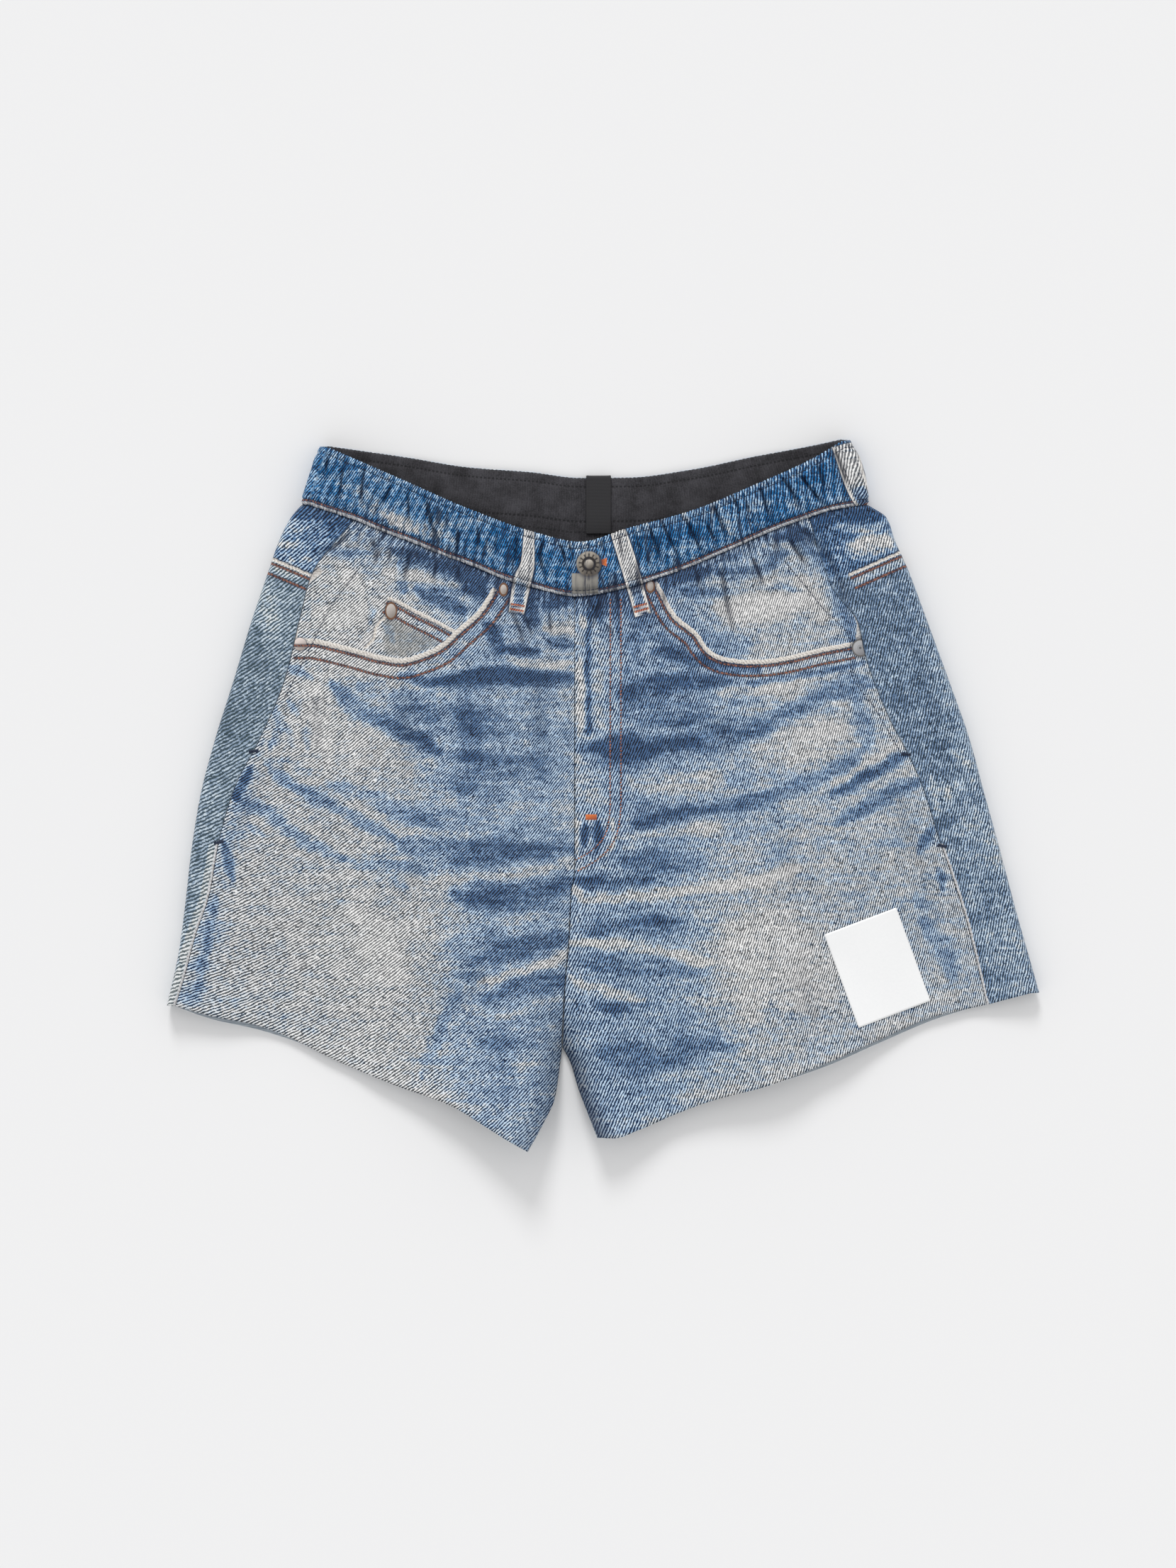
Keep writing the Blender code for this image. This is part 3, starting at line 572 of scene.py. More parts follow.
# %% [markdown]
# ## Relief of a leg
#
# On top of the listed creases come the small things that make cloth look like cloth: fine pleats
# where the elastic is sewn on, puckers along the side seam, and long lazy waves. All of them are
# moves along the surface's own normals, so they lean with the cloth. The back rests on the table,
# so there they only go inwards.

# %% Fine relief of a leg
FINE_PLEATS = 34
FINE_PLEAT_HEIGHT = 0.7
FINE_PLEAT_REACH = 9.0
FINE_PLACE_WAVES = ((0.9, 9.3, 0.4), (0.5, 23.0, 2.1))
FINE_STRENGTH, FINE_STRENGTH_WAVE = 0.7, (0.3, 17.0, 0.5)
PUCKER_HEIGHT = 0.28
PUCKER_REACH = 5.0
PUCKER_PITCH = 9.0
SEAM_DIP = 0.55
SEAM_DIP_WIDTH = 0.9
EDGE_TUCK = 1.0
EDGE_TUCK_UP = 0.9
LAZY_WAVE = 0.38
LAZY_START = 20.0
CALM_CENTRE = 12.0
UNDER_WAVE = 0.25
UNDER_REACH = 12.0
# Ridges are pinched by this power, and taken off their mean height they neither raise nor sink.
PINCH = 0.6
PINCHED_MEAN = 0.6
# Painted shade in the pleats' troughs, and a painted shadow line close under the seam; its width.
TROUGH_SHADE, TROUGH_POWER = 0.9, 1.5
UNDER_SEAM_SHADOW, UNDER_SEAM_SHADOW_WIDTH = 0.75, 1.5
# From where to where along a row the upper side's relief ends, and the underside's begins.
TOP_ENDS = (1.18, 1.25)
UNDER_STARTS = (1.25, 1.33)


def lazy(x, y):
    """Long low waves: products of two sines whose phases wander with each other."""
    wander = np.sin(y / 19 + 0.8 * np.sin(x / 31))
    return (np.sin(x / 8.7 + 1.1 * wander) * np.cos(y / 15.5 + 0.9 * np.sin(x / 17))
            + 0.7 * np.sin((x + 0.6 * y) / 13.3 + wander))


def leg_wave():
    """A number that grows from 0 at the centre front to 1 at the side seam and 2 at the centre back."""
    return np.concatenate([np.linspace(0, 1, FRONT_COLUMNS + 1),
                           1 + FLAP_WAVE * np.linspace(0, 1, FLAP_COLUMNS + 1)[1:],
                           np.full(FOLD_COLUMNS - 1, 1 + FLAP_WAVE),
                           1 + FLAP_WAVE + (1 - FLAP_WAVE) * np.linspace(0, 1, FLOOR_COLUMNS + 1)])[None]


def pinched(phase):
    """Broad ridges with narrow troughs between them: a sine's size to a power under 1."""
    return np.abs(np.sin(np.pi * phase)) ** PINCH


def pleat_shade(depth, wave):
    """Painted shade in the fine pleats' troughs, and the painted shadow line close under the seam."""
    trough = 1 - pinched(uneven(wave, FINE_PLEATS * wave, *FINE_PLACE_WAVES))
    return (TROUGH_SHADE * trough ** TROUGH_POWER * bell(depth, FINE_PLEAT_REACH)
            + UNDER_SEAM_SHADOW * bell(depth, UNDER_SEAM_SHADOW_WIDTH))


def leg_relief(points, creases):
    """Moves along the normals, as rows by columns."""
    x, y = points[..., 0], points[..., 1]
    wave = leg_wave()
    on_top = 1 - step_up(*TOP_ENDS, wave)
    beneath = step_up(*UNDER_STARTS, wave)
    depth = np.maximum(seam_y(x, False) - y, 0)
    phase = uneven(wave, FINE_PLEATS * wave, *FINE_PLACE_WAVES)
    strength = uneven(wave, FINE_STRENGTH, FINE_STRENGTH_WAVE)
    pleats = (FINE_PLEAT_HEIGHT * strength * (pinched(phase) - PINCHED_MEAN)
              * bell(depth, FINE_PLEAT_REACH))
    seam = points[:, FRONT_COLUMNS:FRONT_COLUMNS + 1]
    from_seam = np.hypot(x - seam[..., 0], y - seam[..., 1])
    puckers = (PUCKER_HEIGHT * np.sin(TURN * y / PUCKER_PITCH + 1.5 * np.sin(y / 23))
               * bell(from_seam, PUCKER_REACH))
    dips = SEAM_DIP * bell(from_seam, SEAM_DIP_WIDTH)
    from_centre = np.abs(x - points[:, :1, 0])
    dips = dips + SEAM_DIP * bell(from_centre, SEAM_DIP_WIDTH) * (ROWS[:, None] <= CROTCH_ROW)
    calm = step_up(0, CALM_CENTRE, from_centre) * step_up(0, LAZY_START, depth)
    top = (creased(x, y, creases) + pleats + puckers - dips + LAZY_WAVE * lazy(x, y) * calm) * on_top
    under = np.minimum(creased(x, y, BACK_CREASES), 0) * beneath
    under = under - UNDER_WAVE * (1 + np.sin(TURN * phase)) * bell(depth, UNDER_REACH) * beneath
    return top + under


def leg_faces(points, normals, creases):
    """The outer and the inner face of the shell cloth; the top row is tucked under the waistband."""
    outer = points + normals * (PANEL / 2 + leg_relief(points, creases)[..., None])
    outer[0] -= normals[0] * EDGE_TUCK
    outer[0, :, 1] += EDGE_TUCK_UP
    return outer, outer - normals * SHELL_CLOTH


right_outer, right_inner = leg_faces(right_points, right_normals, RIGHT_CREASES)
left_outer, left_inner = leg_faces(left_points, left_normals, LEFT_CREASES)
heights = np.stack([right_outer[..., 2], left_outer[..., 2]])
print("lowest and highest of the legs, mm:", round(heights.min(), 2), round(heights.max(), 2))

# %% [markdown]
# ## From a grid to cloth
#
# A piece of cloth is a thin closed wall: the outer face, the inner face and a rim along the cut
# edges. Each has its own material slot, because the print is on one side only. `foreach_set` fills
# the mesh from whole arrays at once, and marks such as the fade travel with it as attributes.

# %% Build a closed wall from two grids
pieces = {}


def new_piece(name, mesh):
    """Put a mesh into the scene as a piece."""
    pieces[name] = bpy.data.objects.new(name, mesh)
    bpy.context.collection.objects.link(pieces[name])


def cloth(name, outer, inner, finishes, marks=(), ring=False):
    """A closed wall between two grids of points: outer face, inner face and rims have their own
    finish, as material slots 0, 1 and 2. A ring also joins its last column to its first."""
    rows, columns = outer.shape[:2]
    vertices = np.concatenate([outer.reshape(-1, 3), inner.reshape(-1, 3)]) * MM
    index = np.arange(rows * columns).reshape(rows, columns)
    if ring:
        index = np.concatenate([index, index[:, :1]], axis=1)
    under = index + rows * columns
    faces = [(index[:-1, :-1], index[1:, :-1], index[1:, 1:], index[:-1, 1:]),
             (under[:-1, :-1], under[:-1, 1:], under[1:, 1:], under[1:, :-1]),
             (index[0, :-1], index[0, 1:], under[0, 1:], under[0, :-1]),
             (index[-1, 1:], index[-1, :-1], under[-1, :-1], under[-1, 1:])]
    if not ring:
        faces += [(index[1:, 0], index[:-1, 0], under[:-1, 0], under[1:, 0]),
                  (index[:-1, -1], index[1:, -1], under[1:, -1], under[:-1, -1])]
    quads = [np.stack(corners, -1).reshape(-1, 4) for corners in faces]
    slots = np.concatenate([np.full(len(part), min(i, 2)) for i, part in enumerate(quads)])
    quads = np.concatenate(quads)
    middle = outer[rows // 2, columns // 2]
    turn = np.cross(outer[rows // 2 + 1, columns // 2] - middle,
                    outer[rows // 2, columns // 2 + 1] - middle)
    if turn @ (middle - inner[rows // 2, columns // 2]) < 0:
        quads = quads[:, ::-1]
    mesh = bpy.data.meshes.new(name)
    mesh.vertices.add(len(vertices))
    mesh.vertices.foreach_set("co", vertices.ravel())
    mesh.loops.add(quads.size)
    mesh.loops.foreach_set("vertex_index", quads.ravel())
    mesh.polygons.add(len(quads))
    mesh.polygons.foreach_set("loop_start", np.arange(0, quads.size, 4))
    mesh.update(calc_edges=True)
    for finish in finishes:
        mesh.materials.append(finish.material)
    mesh.polygons.foreach_set("material_index", slots)
    mesh.shade_smooth()
    for label, values in dict(marks).items():
        kind = "FLOAT_VECTOR" if values.ndim == 3 else "FLOAT"
        mark = mesh.attributes.new(label, kind, "POINT")
        twice = np.concatenate([values.reshape(rows * columns, -1)] * 2)
        place = "vector" if values.ndim == 3 else "value"
        mark.data.foreach_set(place, twice.ravel().astype(np.float32))
    mesh.validate()
    new_piece(name, mesh)


def vector_mark(*parts):
    """Up to three numbers for each place, as one attribute."""
    parts = [np.broadcast_to(part, parts[0].shape) for part in parts]
    return np.stack(parts + [np.zeros_like(parts[0])] * (3 - len(parts)), axis=-1)


# %% [markdown]
# ## Recipes for the finishes
#
# Every finish is a recipe of shader nodes. A node's output is wrapped in a small class, so that plain
# arithmetic on it adds Math nodes and a recipe reads like the formula it is. What more than one
# finish uses becomes a node group: it is built once and placed wherever it is needed.

# %% A short way to write nodes
class Signal:
    """A node's output on its way through a recipe; arithmetic on it adds Math nodes."""

    def __init__(self, recipe, socket):
        self.recipe = recipe
        self.socket = socket

    def __add__(self, other):
        return self.recipe.math("ADD", self, other)

    def __sub__(self, other):
        return self.recipe.math("SUBTRACT", self, other)

    def __rsub__(self, other):
        return self.recipe.math("SUBTRACT", other, self)

    def __mul__(self, other):
        return self.recipe.math("MULTIPLY", self, other)

    def __truediv__(self, other):
        return self.recipe.math("DIVIDE", self, other)

    def __abs__(self):
        return self.recipe.math("ABSOLUTE", self)

    __radd__ = __add__
    __rmul__ = __mul__

    def sine(self):
        return self.recipe.math("SINE", self)

    def soft(self, low, high):
        """0 below low, 1 above high, a soft step between; high under low turns it round."""
        ends = (low, high, 0.0, 1.0) if high > low else (high, low, 1.0, 0.0)
        return self.recipe.add("MapRange", self, *ends, interpolation_type="SMOOTHSTEP")


class Recipe:
    """Adds nodes to one tree."""

    def __init__(self, tree):
        self.tree = tree

    def feed(self, socket, value):
        """Link a socket, or set a plain value."""
        if isinstance(value, Signal):
            self.tree.links.new(value.socket, socket)
        else:
            socket.default_value = value

    def add(self, kind, *values, inputs=(), output=0, **settings):
        """A node with its settings, and its inputs in their order or by name. Gives one output."""
        node = self.tree.nodes.new("ShaderNode" + kind)
        for label, setting in settings.items():
            setattr(node, label, setting)
        for socket, value in zip(node.inputs, values):
            self.feed(socket, value)
        for label, value in dict(inputs).items():
            self.feed(node.inputs[label], value)
        return Signal(self, node.outputs[output])

    def math(self, operation, *values):
        return self.add("Math", *values, operation=operation)

    def mix(self, share, below, above):
        """Colour above laid over colour below by a share."""
        return self.add("Mix", inputs={0: share, 6: below, 7: above}, output=2, data_type="RGBA")

    def ramp(self, value, stops):
        """A colour for each level of a value."""
        signal = self.add("ValToRGB", value)
        elements = signal.socket.node.color_ramp.elements
        while len(elements) < len(stops):
            elements.new(1.0)
        for element, (place, shade) in zip(elements, stops):
            element.position = place
            element.color = shade
        return signal

    def noise(self, vector, scale=1.0, detail=1.0, roughness=0.5):
        return self.add("TexNoise", output="Fac", inputs={"Vector": vector, "Scale": scale, "Detail": detail,
                                                          "Roughness": roughness})

    def vector(self, *parts):
        return self.add("CombineXYZ", *parts)

    def split(self, vector):
        """The three numbers of a vector."""
        node = self.add("SeparateXYZ", vector).socket.node
        return [Signal(self, output) for output in node.outputs]

    def mark(self, name, output="Vector"):
        """An attribute that travels with the mesh: three numbers, or one with Fac."""
        return self.add("Attribute", attribute_name=name, output=output)

    def place(self):
        """Object coordinates in millimetres."""
        coordinates = self.add("TexCoord", output="Object")
        return self.add("VectorMath", coordinates, inputs={"Scale": 1 / MM}, operation="SCALE")

    def use(self, group, **inputs):
        """Place a node group and give its outputs by name."""
        node = self.tree.nodes.new("ShaderNodeGroup")
        node.node_tree = group
        for label, value in inputs.items():
            self.feed(node.inputs[label], value)
        return {output.name: Signal(self, output) for output in node.outputs}

    def give(self, **outputs):
        """What a node group hands out."""
        for label in outputs:
            kind = "NodeSocketColor" if label == "Color" else "NodeSocketFloat"
            self.tree.interface.new_socket(label, in_out="OUTPUT", socket_type=kind)
        ends = self.tree.nodes.new("NodeGroupOutput").inputs
        for label, value in outputs.items():
            self.feed(ends[label], value)
        return self.tree


def new_group(name, **inputs):
    """A node group's recipe and its inputs: a plain value is a number's, three are a vector's."""
    tree = bpy.data.node_groups.new(name, "ShaderNodeTree")
    for label, value in inputs.items():
        kind = "NodeSocketVector" if isinstance(value, tuple) else "NodeSocketFloat"
        tree.interface.new_socket(label, in_out="INPUT", socket_type=kind).default_value = value
    recipe = Recipe(tree)
    outputs = tree.nodes.new("NodeGroupInput").outputs
    return recipe, [Signal(recipe, outputs[label]) for label in inputs]


def colour(red, green, blue):
    """A colour as a screen shows it, 0 to 255, turned into the linear light that shaders use."""
    values = np.array([red, green, blue]) / 255
    linear = np.where(values <= 0.04045, values / 12.92, ((values + 0.055) / 1.055) ** 2.4)
    return tuple(float(value) for value in linear) + (1.0,)


# %% [markdown]
# ## Faded twill
#
# Denim is a twill: blue threads run lengthwise over white ones and step aside at each row, which
# makes slanting ribs. Wear takes the blue off the tops of the ribs first. So the recipe has two
# scales of colour, one for the dark gaps and one for the rib tops, and both get paler with the fade.
# The mask between them is a wave across the ribs, broken into dashes by a noise that is stretched
# along them. An image of denim would be quicker, but it would repeat and could not follow the seams.

# %% Twill group
TWILL_PITCH = 1.47
GAP_COLOURS = ((0.0, colour(4, 17, 38)), (0.2, colour(8, 29, 58)), (0.45, colour(20, 48, 84)),
               (0.6, colour(40, 58, 78)), (0.78, colour(74, 78, 82)), (1.0, colour(122, 123, 125)))
TOP_COLOURS = ((0.0, colour(70, 102, 143)), (0.2, colour(124, 155, 191)), (0.45, colour(194, 216, 236)),
               (0.6, colour(217, 226, 234)), (0.78, colour(233, 234, 235)), (1.0, colour(246, 245, 244)))

twill, (ribs, fade, place, saturation, mottle) = new_group(
    "faded twill", Ribs=(0.0, 0.0, 0.0), Fade=0.5, Place=(0.0, 0.0, 0.0), Saturation=1.0, Mottle=0.5)
across, along, _ = twill.split(ribs)
wave_at = across + twill.noise(place, 0.16) * 0.9
dashes = twill.noise(twill.vector(wave_at * 1.7, along * 0.62, 0.0))
threads = twill.noise(twill.vector(across * 2.1, along * 2.3, 7.0), 1.0, 2.0)
clumps = twill.noise(place, 0.36, 2.0, 0.6)
mask = (wave_at * TURN).sine() * 0.72 + (dashes - 0.5) * 2.4 + (threads - 0.5) * 1.5 + (clumps - 0.5) * 2.1
mask = mask.soft(-0.2, 0.26)
x, y, _ = twill.split(place)
cloudy = twill.noise(place, 0.11, 4.0, 0.66)
drawn_out = twill.noise(twill.vector(x * 0.024, y * 0.15, 11.0), 1.0, 3.0)
streaky = twill.noise(twill.vector(x * 0.055, y * 0.5, 3.0), 1.0, 2.0)
mottled = twill.noise(place, 0.42, 2.0, 0.6)
faded = (fade + (cloudy - 0.5) * 0.5 + (drawn_out - 0.5) * 0.6 + (streaky - 0.5) * 0.4
         + (mottled - 0.5) * mottle)
two_tone = twill.mix(mask, twill.ramp(faded, GAP_COLOURS), twill.ramp(faded, TOP_COLOURS))
dyed = twill.add("HueSaturation", inputs={"Saturation": saturation, "Color": two_tone})
TWILL = twill.give(Color=dyed, Height=mask)

# %% [markdown]
# ## Printed seams
#
# Two more groups draw what the print shows along a line: a row of stitches, and a thick twisted edge.
# Each reads the line's mark: distance, length along, and how far inside its ends. A third draws a
# spot, round or square, such as a rivet or a bar tack.

# %% Stitch, edge and spot groups
stitch, (line, offset, width, pitch, gap) = new_group(
    "printed stitches", Line=(0.0, 0.0, 0.0), Offset=0.0, Width=0.9, Pitch=2.2, Gap=0.25)
away, along, inside = stitch.split(line)
shaky = stitch.noise(stitch.vector(along * 0.5, 0.0, 0.0))
off = away - offset + (shaky - 0.5) * 0.5
from_middle = abs(stitch.math("FRACT", along / pitch + off * 0.35) - 0.5)
beyond = abs(off) - width * 0.5
ends = inside.soft(-0.4, 0.6)
STITCH = stitch.give(
    Thread=beyond.soft(0.22, -0.12) * (from_middle + gap * 0.5).soft(0.54, 0.42) * ends,
    Shade=beyond.soft(1.0, -0.1) * ends,
    Tone=stitch.noise(stitch.vector(along, away, 5.0), 0.85, 2.0).soft(0.36, 0.64))

edge, (line, offset, width, twist) = new_group(
    "printed edge", Line=(0.0, 0.0, 0.0), Offset=0.0, Width=2.8, Twist=2.3)
away, along, inside = edge.split(line)
shaky = edge.noise(edge.vector(along * 0.35, 3.0, 0.0), 1.0, 2.0)
fuzz = edge.noise(edge.vector(along, away, 1.0), 0.95, 3.0, 0.65) - 0.5
off = away - offset + (shaky - 0.5) * 1.3 + fuzz * 1.7
half = width * 0.5
ends = inside.soft(-0.6, 0.8)
rope = ((along / twist + off * 0.42) * TURN).sine()
EDGE = edge.give(
    Mask=(abs(off) - half).soft(0.2, -0.25) * ends,
    Light=0.62 + off / half * 0.26 + rope * 0.18 + fuzz * 1.9,
    Shade=abs(off + width * 0.62).soft(1.3, 0.0) * ends)

spot, (place, centre, size, square) = new_group(
    "printed spot", Place=(0.0, 0.0, 0.0), Centre=(0.0, 0.0, 0.0), Size=(5.0, 5.0, 1.0), Square=0.0)
offset = spot.add("VectorMath", place, centre, operation="SUBTRACT")
x, y, _ = spot.split(spot.add("VectorMath", offset, size, operation="DIVIDE"))
round_reach = spot.math("SQRT", x * x + y * y)
reach = round_reach * (1.0 - square) + spot.math("MAXIMUM", abs(x), abs(y)) * square
SPOT = spot.give(Reach=reach, Mask=reach.soft(0.54, 0.48), Shade=reach.soft(0.72, 0.46),
                 Lit=0.5 + y * 0.7 + x * -0.35)

# %% [markdown]
# ## Printed cloth
#
# The real cloth under the print is a thin smooth shell with a very fine plain weave, so it keeps a
# faint satin look. The print is laid in the order in which a pair of jeans is sewn: twill, then
# edges, loops, stitches and metal.

# %% A finish, and a printed one
CREAM, CREAM_DARK = colour(238, 233, 226), colour(146, 138, 132)
NAVY = colour(14, 27, 52)
STITCH_BROWN, STITCH_DARK = colour(148, 96, 76), colour(60, 42, 46)
STITCH_ORANGE, ORANGE_DARK = colour(222, 120, 62), colour(150, 74, 50)
BAR_DARK, BAR_LIGHT = colour(84, 44, 44), colour(206, 116, 72)
WEAVE_PITCH = 0.42
CLOTH_ROUGHNESS = 0.62
CREASE_SHADE = 0.85
YOKE_BLEND = 1.0


class Finish(Recipe):
    """A material with the shell cloth's own gloss, and the recipe of its colour and its relief."""

    def __init__(self, name, roughness, sheen=0.08, sheen_roughness=0.4, specular=0.28):
        self.material = bpy.data.materials.new(name)
        self.material.use_nodes = True
        super().__init__(self.material.node_tree)
        self.inputs = self.tree.nodes["Principled BSDF"].inputs
        self.inputs["Roughness"].default_value = roughness
        self.inputs["Sheen Weight"].default_value = sheen
        self.inputs["Sheen Roughness"].default_value = sheen_roughness
        self.inputs["Specular IOR Level"].default_value = specular

    def paint(self, shade):
        self.feed(self.inputs["Base Color"], shade)

    def bump(self, height, strength, distance):
        bump = self.add("Bump", inputs={"Strength": strength, "Distance": distance, "Height": height})
        self.feed(self.inputs["Normal"], bump)

    def weave(self, pitch=WEAVE_PITCH):
        """Height of a plain weave: the product of two waves, across and up."""
        x, y, _ = self.split(self.place())
        return (x * (TURN / pitch)).sine() * (y * (TURN / pitch)).sine()


class Print(Finish):
    """Printed cloth: its twill, then what is laid over it, and at last the painted shade of the creases.
    A back's denim has another saturation below its yoke."""

    def __init__(self, name, saturation=1.0, mottle=0.6, below_yoke=None):
        super().__init__(name, CLOTH_ROUGHNESS)
        if below_yoke is not None:
            saturation = saturation + self.under_yoke() * (below_yoke - saturation)
        self.ribs = self.mark("ribs")
        self.twill = self.use(TWILL, Ribs=self.ribs, Fade=self.mark("fade", "Fac"), Place=self.place(),
                              Saturation=saturation, Mottle=mottle)
        self.laid = self.twill["Color"]

    def under_yoke(self):
        return self.split(self.mark("yoke"))[0].soft(-YOKE_BLEND, YOKE_BLEND)

    def lay(self, share, shade):
        """A colour over what is laid so far."""
        self.laid = self.mix(share, self.laid, shade)

    def stitches(self, line, offset, thread=STITCH_BROWN, width=1.1, pitch=2.2, gap=0.22, shade=0.75):
        """A row of printed stitches in its dark groove."""
        made = self.use(STITCH, Line=self.mark(line), Offset=offset, Width=width, Pitch=pitch, Gap=gap)
        self.lay(made["Shade"] * shade, NAVY)
        self.lay(made["Thread"], self.mix(made["Tone"], STITCH_DARK, thread))

    def edge(self, line, width, light=CREAM, dark=CREAM_DARK, shade=0.7, offset=0.0, twist=2.3):
        """A printed turned edge: a rope of light and dark with a shadow on its lower side."""
        made = self.use(EDGE, Line=self.mark(line), Offset=offset, Width=width, Twist=twist)
        self.lay(made["Shade"] * shade, NAVY)
        self.lay(made["Mask"], self.mix(made["Light"], dark, light))

    def spot(self, centre, size, light, dark, rings=(), square=0.0, shade=0.75):
        """A printed spot such as a rivet: shaded round, lit from above, with darker rings on it."""
        made = self.use(SPOT, Place=self.place(), Centre=(*centre, 0.0), Size=(*size, 1.0), Square=square)
        self.lay(made["Shade"] * shade, NAVY)
        face = self.mix(made["Lit"].soft(0.0, 1.0), dark, light)
        reach, blur = made["Reach"], 0.03
        for inner, outer, ring in rings:
            band = reach.soft(inner - blur, inner + blur) * reach.soft(outer + blur, outer - blur)
            face = self.mix(band, face, ring)
        self.lay(made["Mask"], face)

    def loop(self, line, length):
        """A belt loop: worn pale along both sides, twill between them, a bar tack at its foot."""
        away, along, inside = self.split(self.mark(line))
        wide = abs(away)
        on = inside.soft(-0.3, 0.3)
        self.lay(wide.soft(1.42, 1.0) * inside.soft(-2.2, 0.5) * 0.85, NAVY)
        dark_centre = along.soft(0.5 * length, 0.74 * length) * wide.soft(0.8, 0.45)
        flecks = self.noise(self.vector(away, along, 5.0), 0.6, 2.0)
        pale = 0.92 + dark_centre * -0.7 + (flecks - 0.5) * 1.2
        made = self.use(TWILL, Ribs=self.ribs, Fade=pale, Place=self.vector(along, away, 9.0))
        face = self.mix(wide.soft(0.7, 0.86) * 0.6, made["Color"], CREAM)
        self.lay(wide.soft(1.04, 0.96) * on, face)
        foot = along.soft(length - 6.0, length - 4.6) * wide.soft(1.0, 0.92) * on
        self.lay(foot * 0.5, self.mix(flecks.soft(0.35, 0.6), NAVY, CREAM))
        from_bar = self.math("MINIMUM", abs(along + (5.2 - length)), abs(along + (2.2 - length)))
        threads = (away * 20.0 + along * 3.0).sine().soft(-0.6, 0.6)
        self.lay(from_bar.soft(0.85, 0.45) * wide.soft(0.95, 0.85) * 0.9,
                 self.mix(threads, BAR_DARK, BAR_LIGHT))

    def wrinkle_shade(self, across_rate, up_rate, seed):
        """Painted shade of the finest creases: thin lines where a stretched noise crosses its middle value,
        here and there. They stand square to the waist seam, which dips in the middle: x·(0.58 + 0.0028·y)."""
        place = self.place()
        x, y, _ = self.split(place)
        x = x * (0.58 + y * 0.0028)
        ground = self.noise(self.vector(x * across_rate, y * up_rate, seed))
        some = self.noise(place, across_rate * 0.7).soft(0.42, 0.58)
        return abs(ground - 0.5).soft(0.03, 0.0) * some

    def waist_crease_shade(self):
        """Painted shade of fine creases that run down from the waist seam and fade out."""
        fading = self.mark("depth", "Fac").soft(40.0, 4.0)
        return (self.wrinkle_shade(0.10, 0.012, 2.0) + self.wrinkle_shade(0.2, 0.02, 6.0)) * fading * 0.7

    def finish(self, folds=0.0):
        """Colour to the shader with painted shade in the creases, the finest given as folds, and the fine
        weave as a bump.
        """
        shade = self.math("MINIMUM", self.mark("crease", "Fac") + folds, 1.0)
        self.lay(shade * CREASE_SHADE, NAVY)
        self.paint(self.laid)
        self.bump(self.weave() * 0.5 + self.twill["Height"] * 0.25, 0.35, 0.00006)


# %% The fronts' prints
RIVET_LIGHT, RIVET_DARK, RIVET_RING = colour(206, 198, 192), colour(128, 118, 110), colour(112, 78, 56)
COIN_GREY = colour(116, 116, 112)
FLY_THREAD = colour(176, 112, 84)
KNOT_LIGHT, KNOT_DARK = colour(186, 186, 188), colour(118, 118, 122)
#              distance from the middle as a share of the size: inner, outer, and the ring's colour
KNOT_RINGS = ((0.0, 0.08, colour(90, 90, 92)), (0.13, 0.17, colour(140, 140, 142)),
              (0.43, 0.6, colour(100, 98, 96)))

printed_right = Print("printed cloth, right front")
from_coin, from_pocket = (printed_right.split(printed_right.mark(line))[0] for line in ("coin", "pocket"))
across = printed_right.split(printed_right.place())[0]
in_coin = from_coin.soft(-9.5, -11.5) * from_pocket.soft(1.5, 3.5) * across.soft(-134.0, -130.0)
printed_right.lay(in_coin * 0.5, COIN_GREY)
printed_right.edge("coin", 2.2)
for offset in (-3.2, -9.0):
    printed_right.stitches("coin", offset)
printed_right.edge("side_edge", 3.4, colour(214, 210, 206))
printed_right.edge("fray", 1.6, shade=0.4)
printed_right.edge("pocket", 3.0)
printed_right.spot((-183.0, 90.4), (7.4, 7.6), colour(236, 222, 216), CREAM_DARK, shade=0.8)
for offset in (-2.9, -10.4):
    printed_right.stitches("pocket", offset)
printed_right.loop("loop", 52.0)
printed_right.spot((-60.2, 123.4), (5.4, 8.2), RIVET_LIGHT, RIVET_DARK, ((0.36, 0.6, RIVET_RING),))
printed_right.spot((-128.1, 110.5), (7.2, 10.6), RIVET_LIGHT, RIVET_DARK, ((0.4, 0.6, RIVET_RING),))
printed_right.finish(printed_right.waist_crease_shade())

printed_left = Print("printed cloth, left front")
for offset in (-3.2, 3.2):
    printed_left.stitches("fly", offset, FLY_THREAD, 0.7, 1.9, 0.35, 0.3)
printed_left.edge("pocket", 2.7)
for offset in (-2.7, -8.4):
    printed_left.stitches("pocket", offset)
printed_left.edge("side_edge", 3.0, colour(200, 198, 196), colour(112, 116, 124))
printed_left.loop("loop", 54.0)
printed_left.spot((28.4, 125.6), (5.6, 8.6), RIVET_LIGHT, RIVET_DARK, ((0.36, 0.6, RIVET_RING),))
printed_left.spot((155.2, 88.2), (10.0, 10.4), KNOT_LIGHT, KNOT_DARK, KNOT_RINGS)
printed_left.spot((-7.3, -14.0), (6.6, 3.2), STITCH_ORANGE, ORANGE_DARK, square=1.0, shade=0.35)
printed_left.finish(printed_left.waist_crease_shade())

# %% The backs' prints
TEAL = colour(104, 144, 152)


def back_print(name, below_yoke, tint):
    """A back panel's print: the yoke, a plain patch pocket, a pale strip beside the side seam.
    Below the yoke the blue has its own saturation and a little teal, by the tint."""
    back = Print(name, 1.1, 1.1, below_yoke)
    back.lay(back.under_yoke() * tint, TEAL)
    back.edge("yoke", 1.8, shade=0.8)
    for offset in (2.4, 8.8):
        back.stitches("yoke", offset, STITCH_BROWN, 1.2, 2.4, 0.12, 0.75)
    back.edge("patch", 1.8)
    for offset in (1.8, 7.6):
        back.stitches("patch", offset)
    back.edge("strip", 1.5, colour(222, 224, 228), offset=0.8)
    back.finish()
    return back


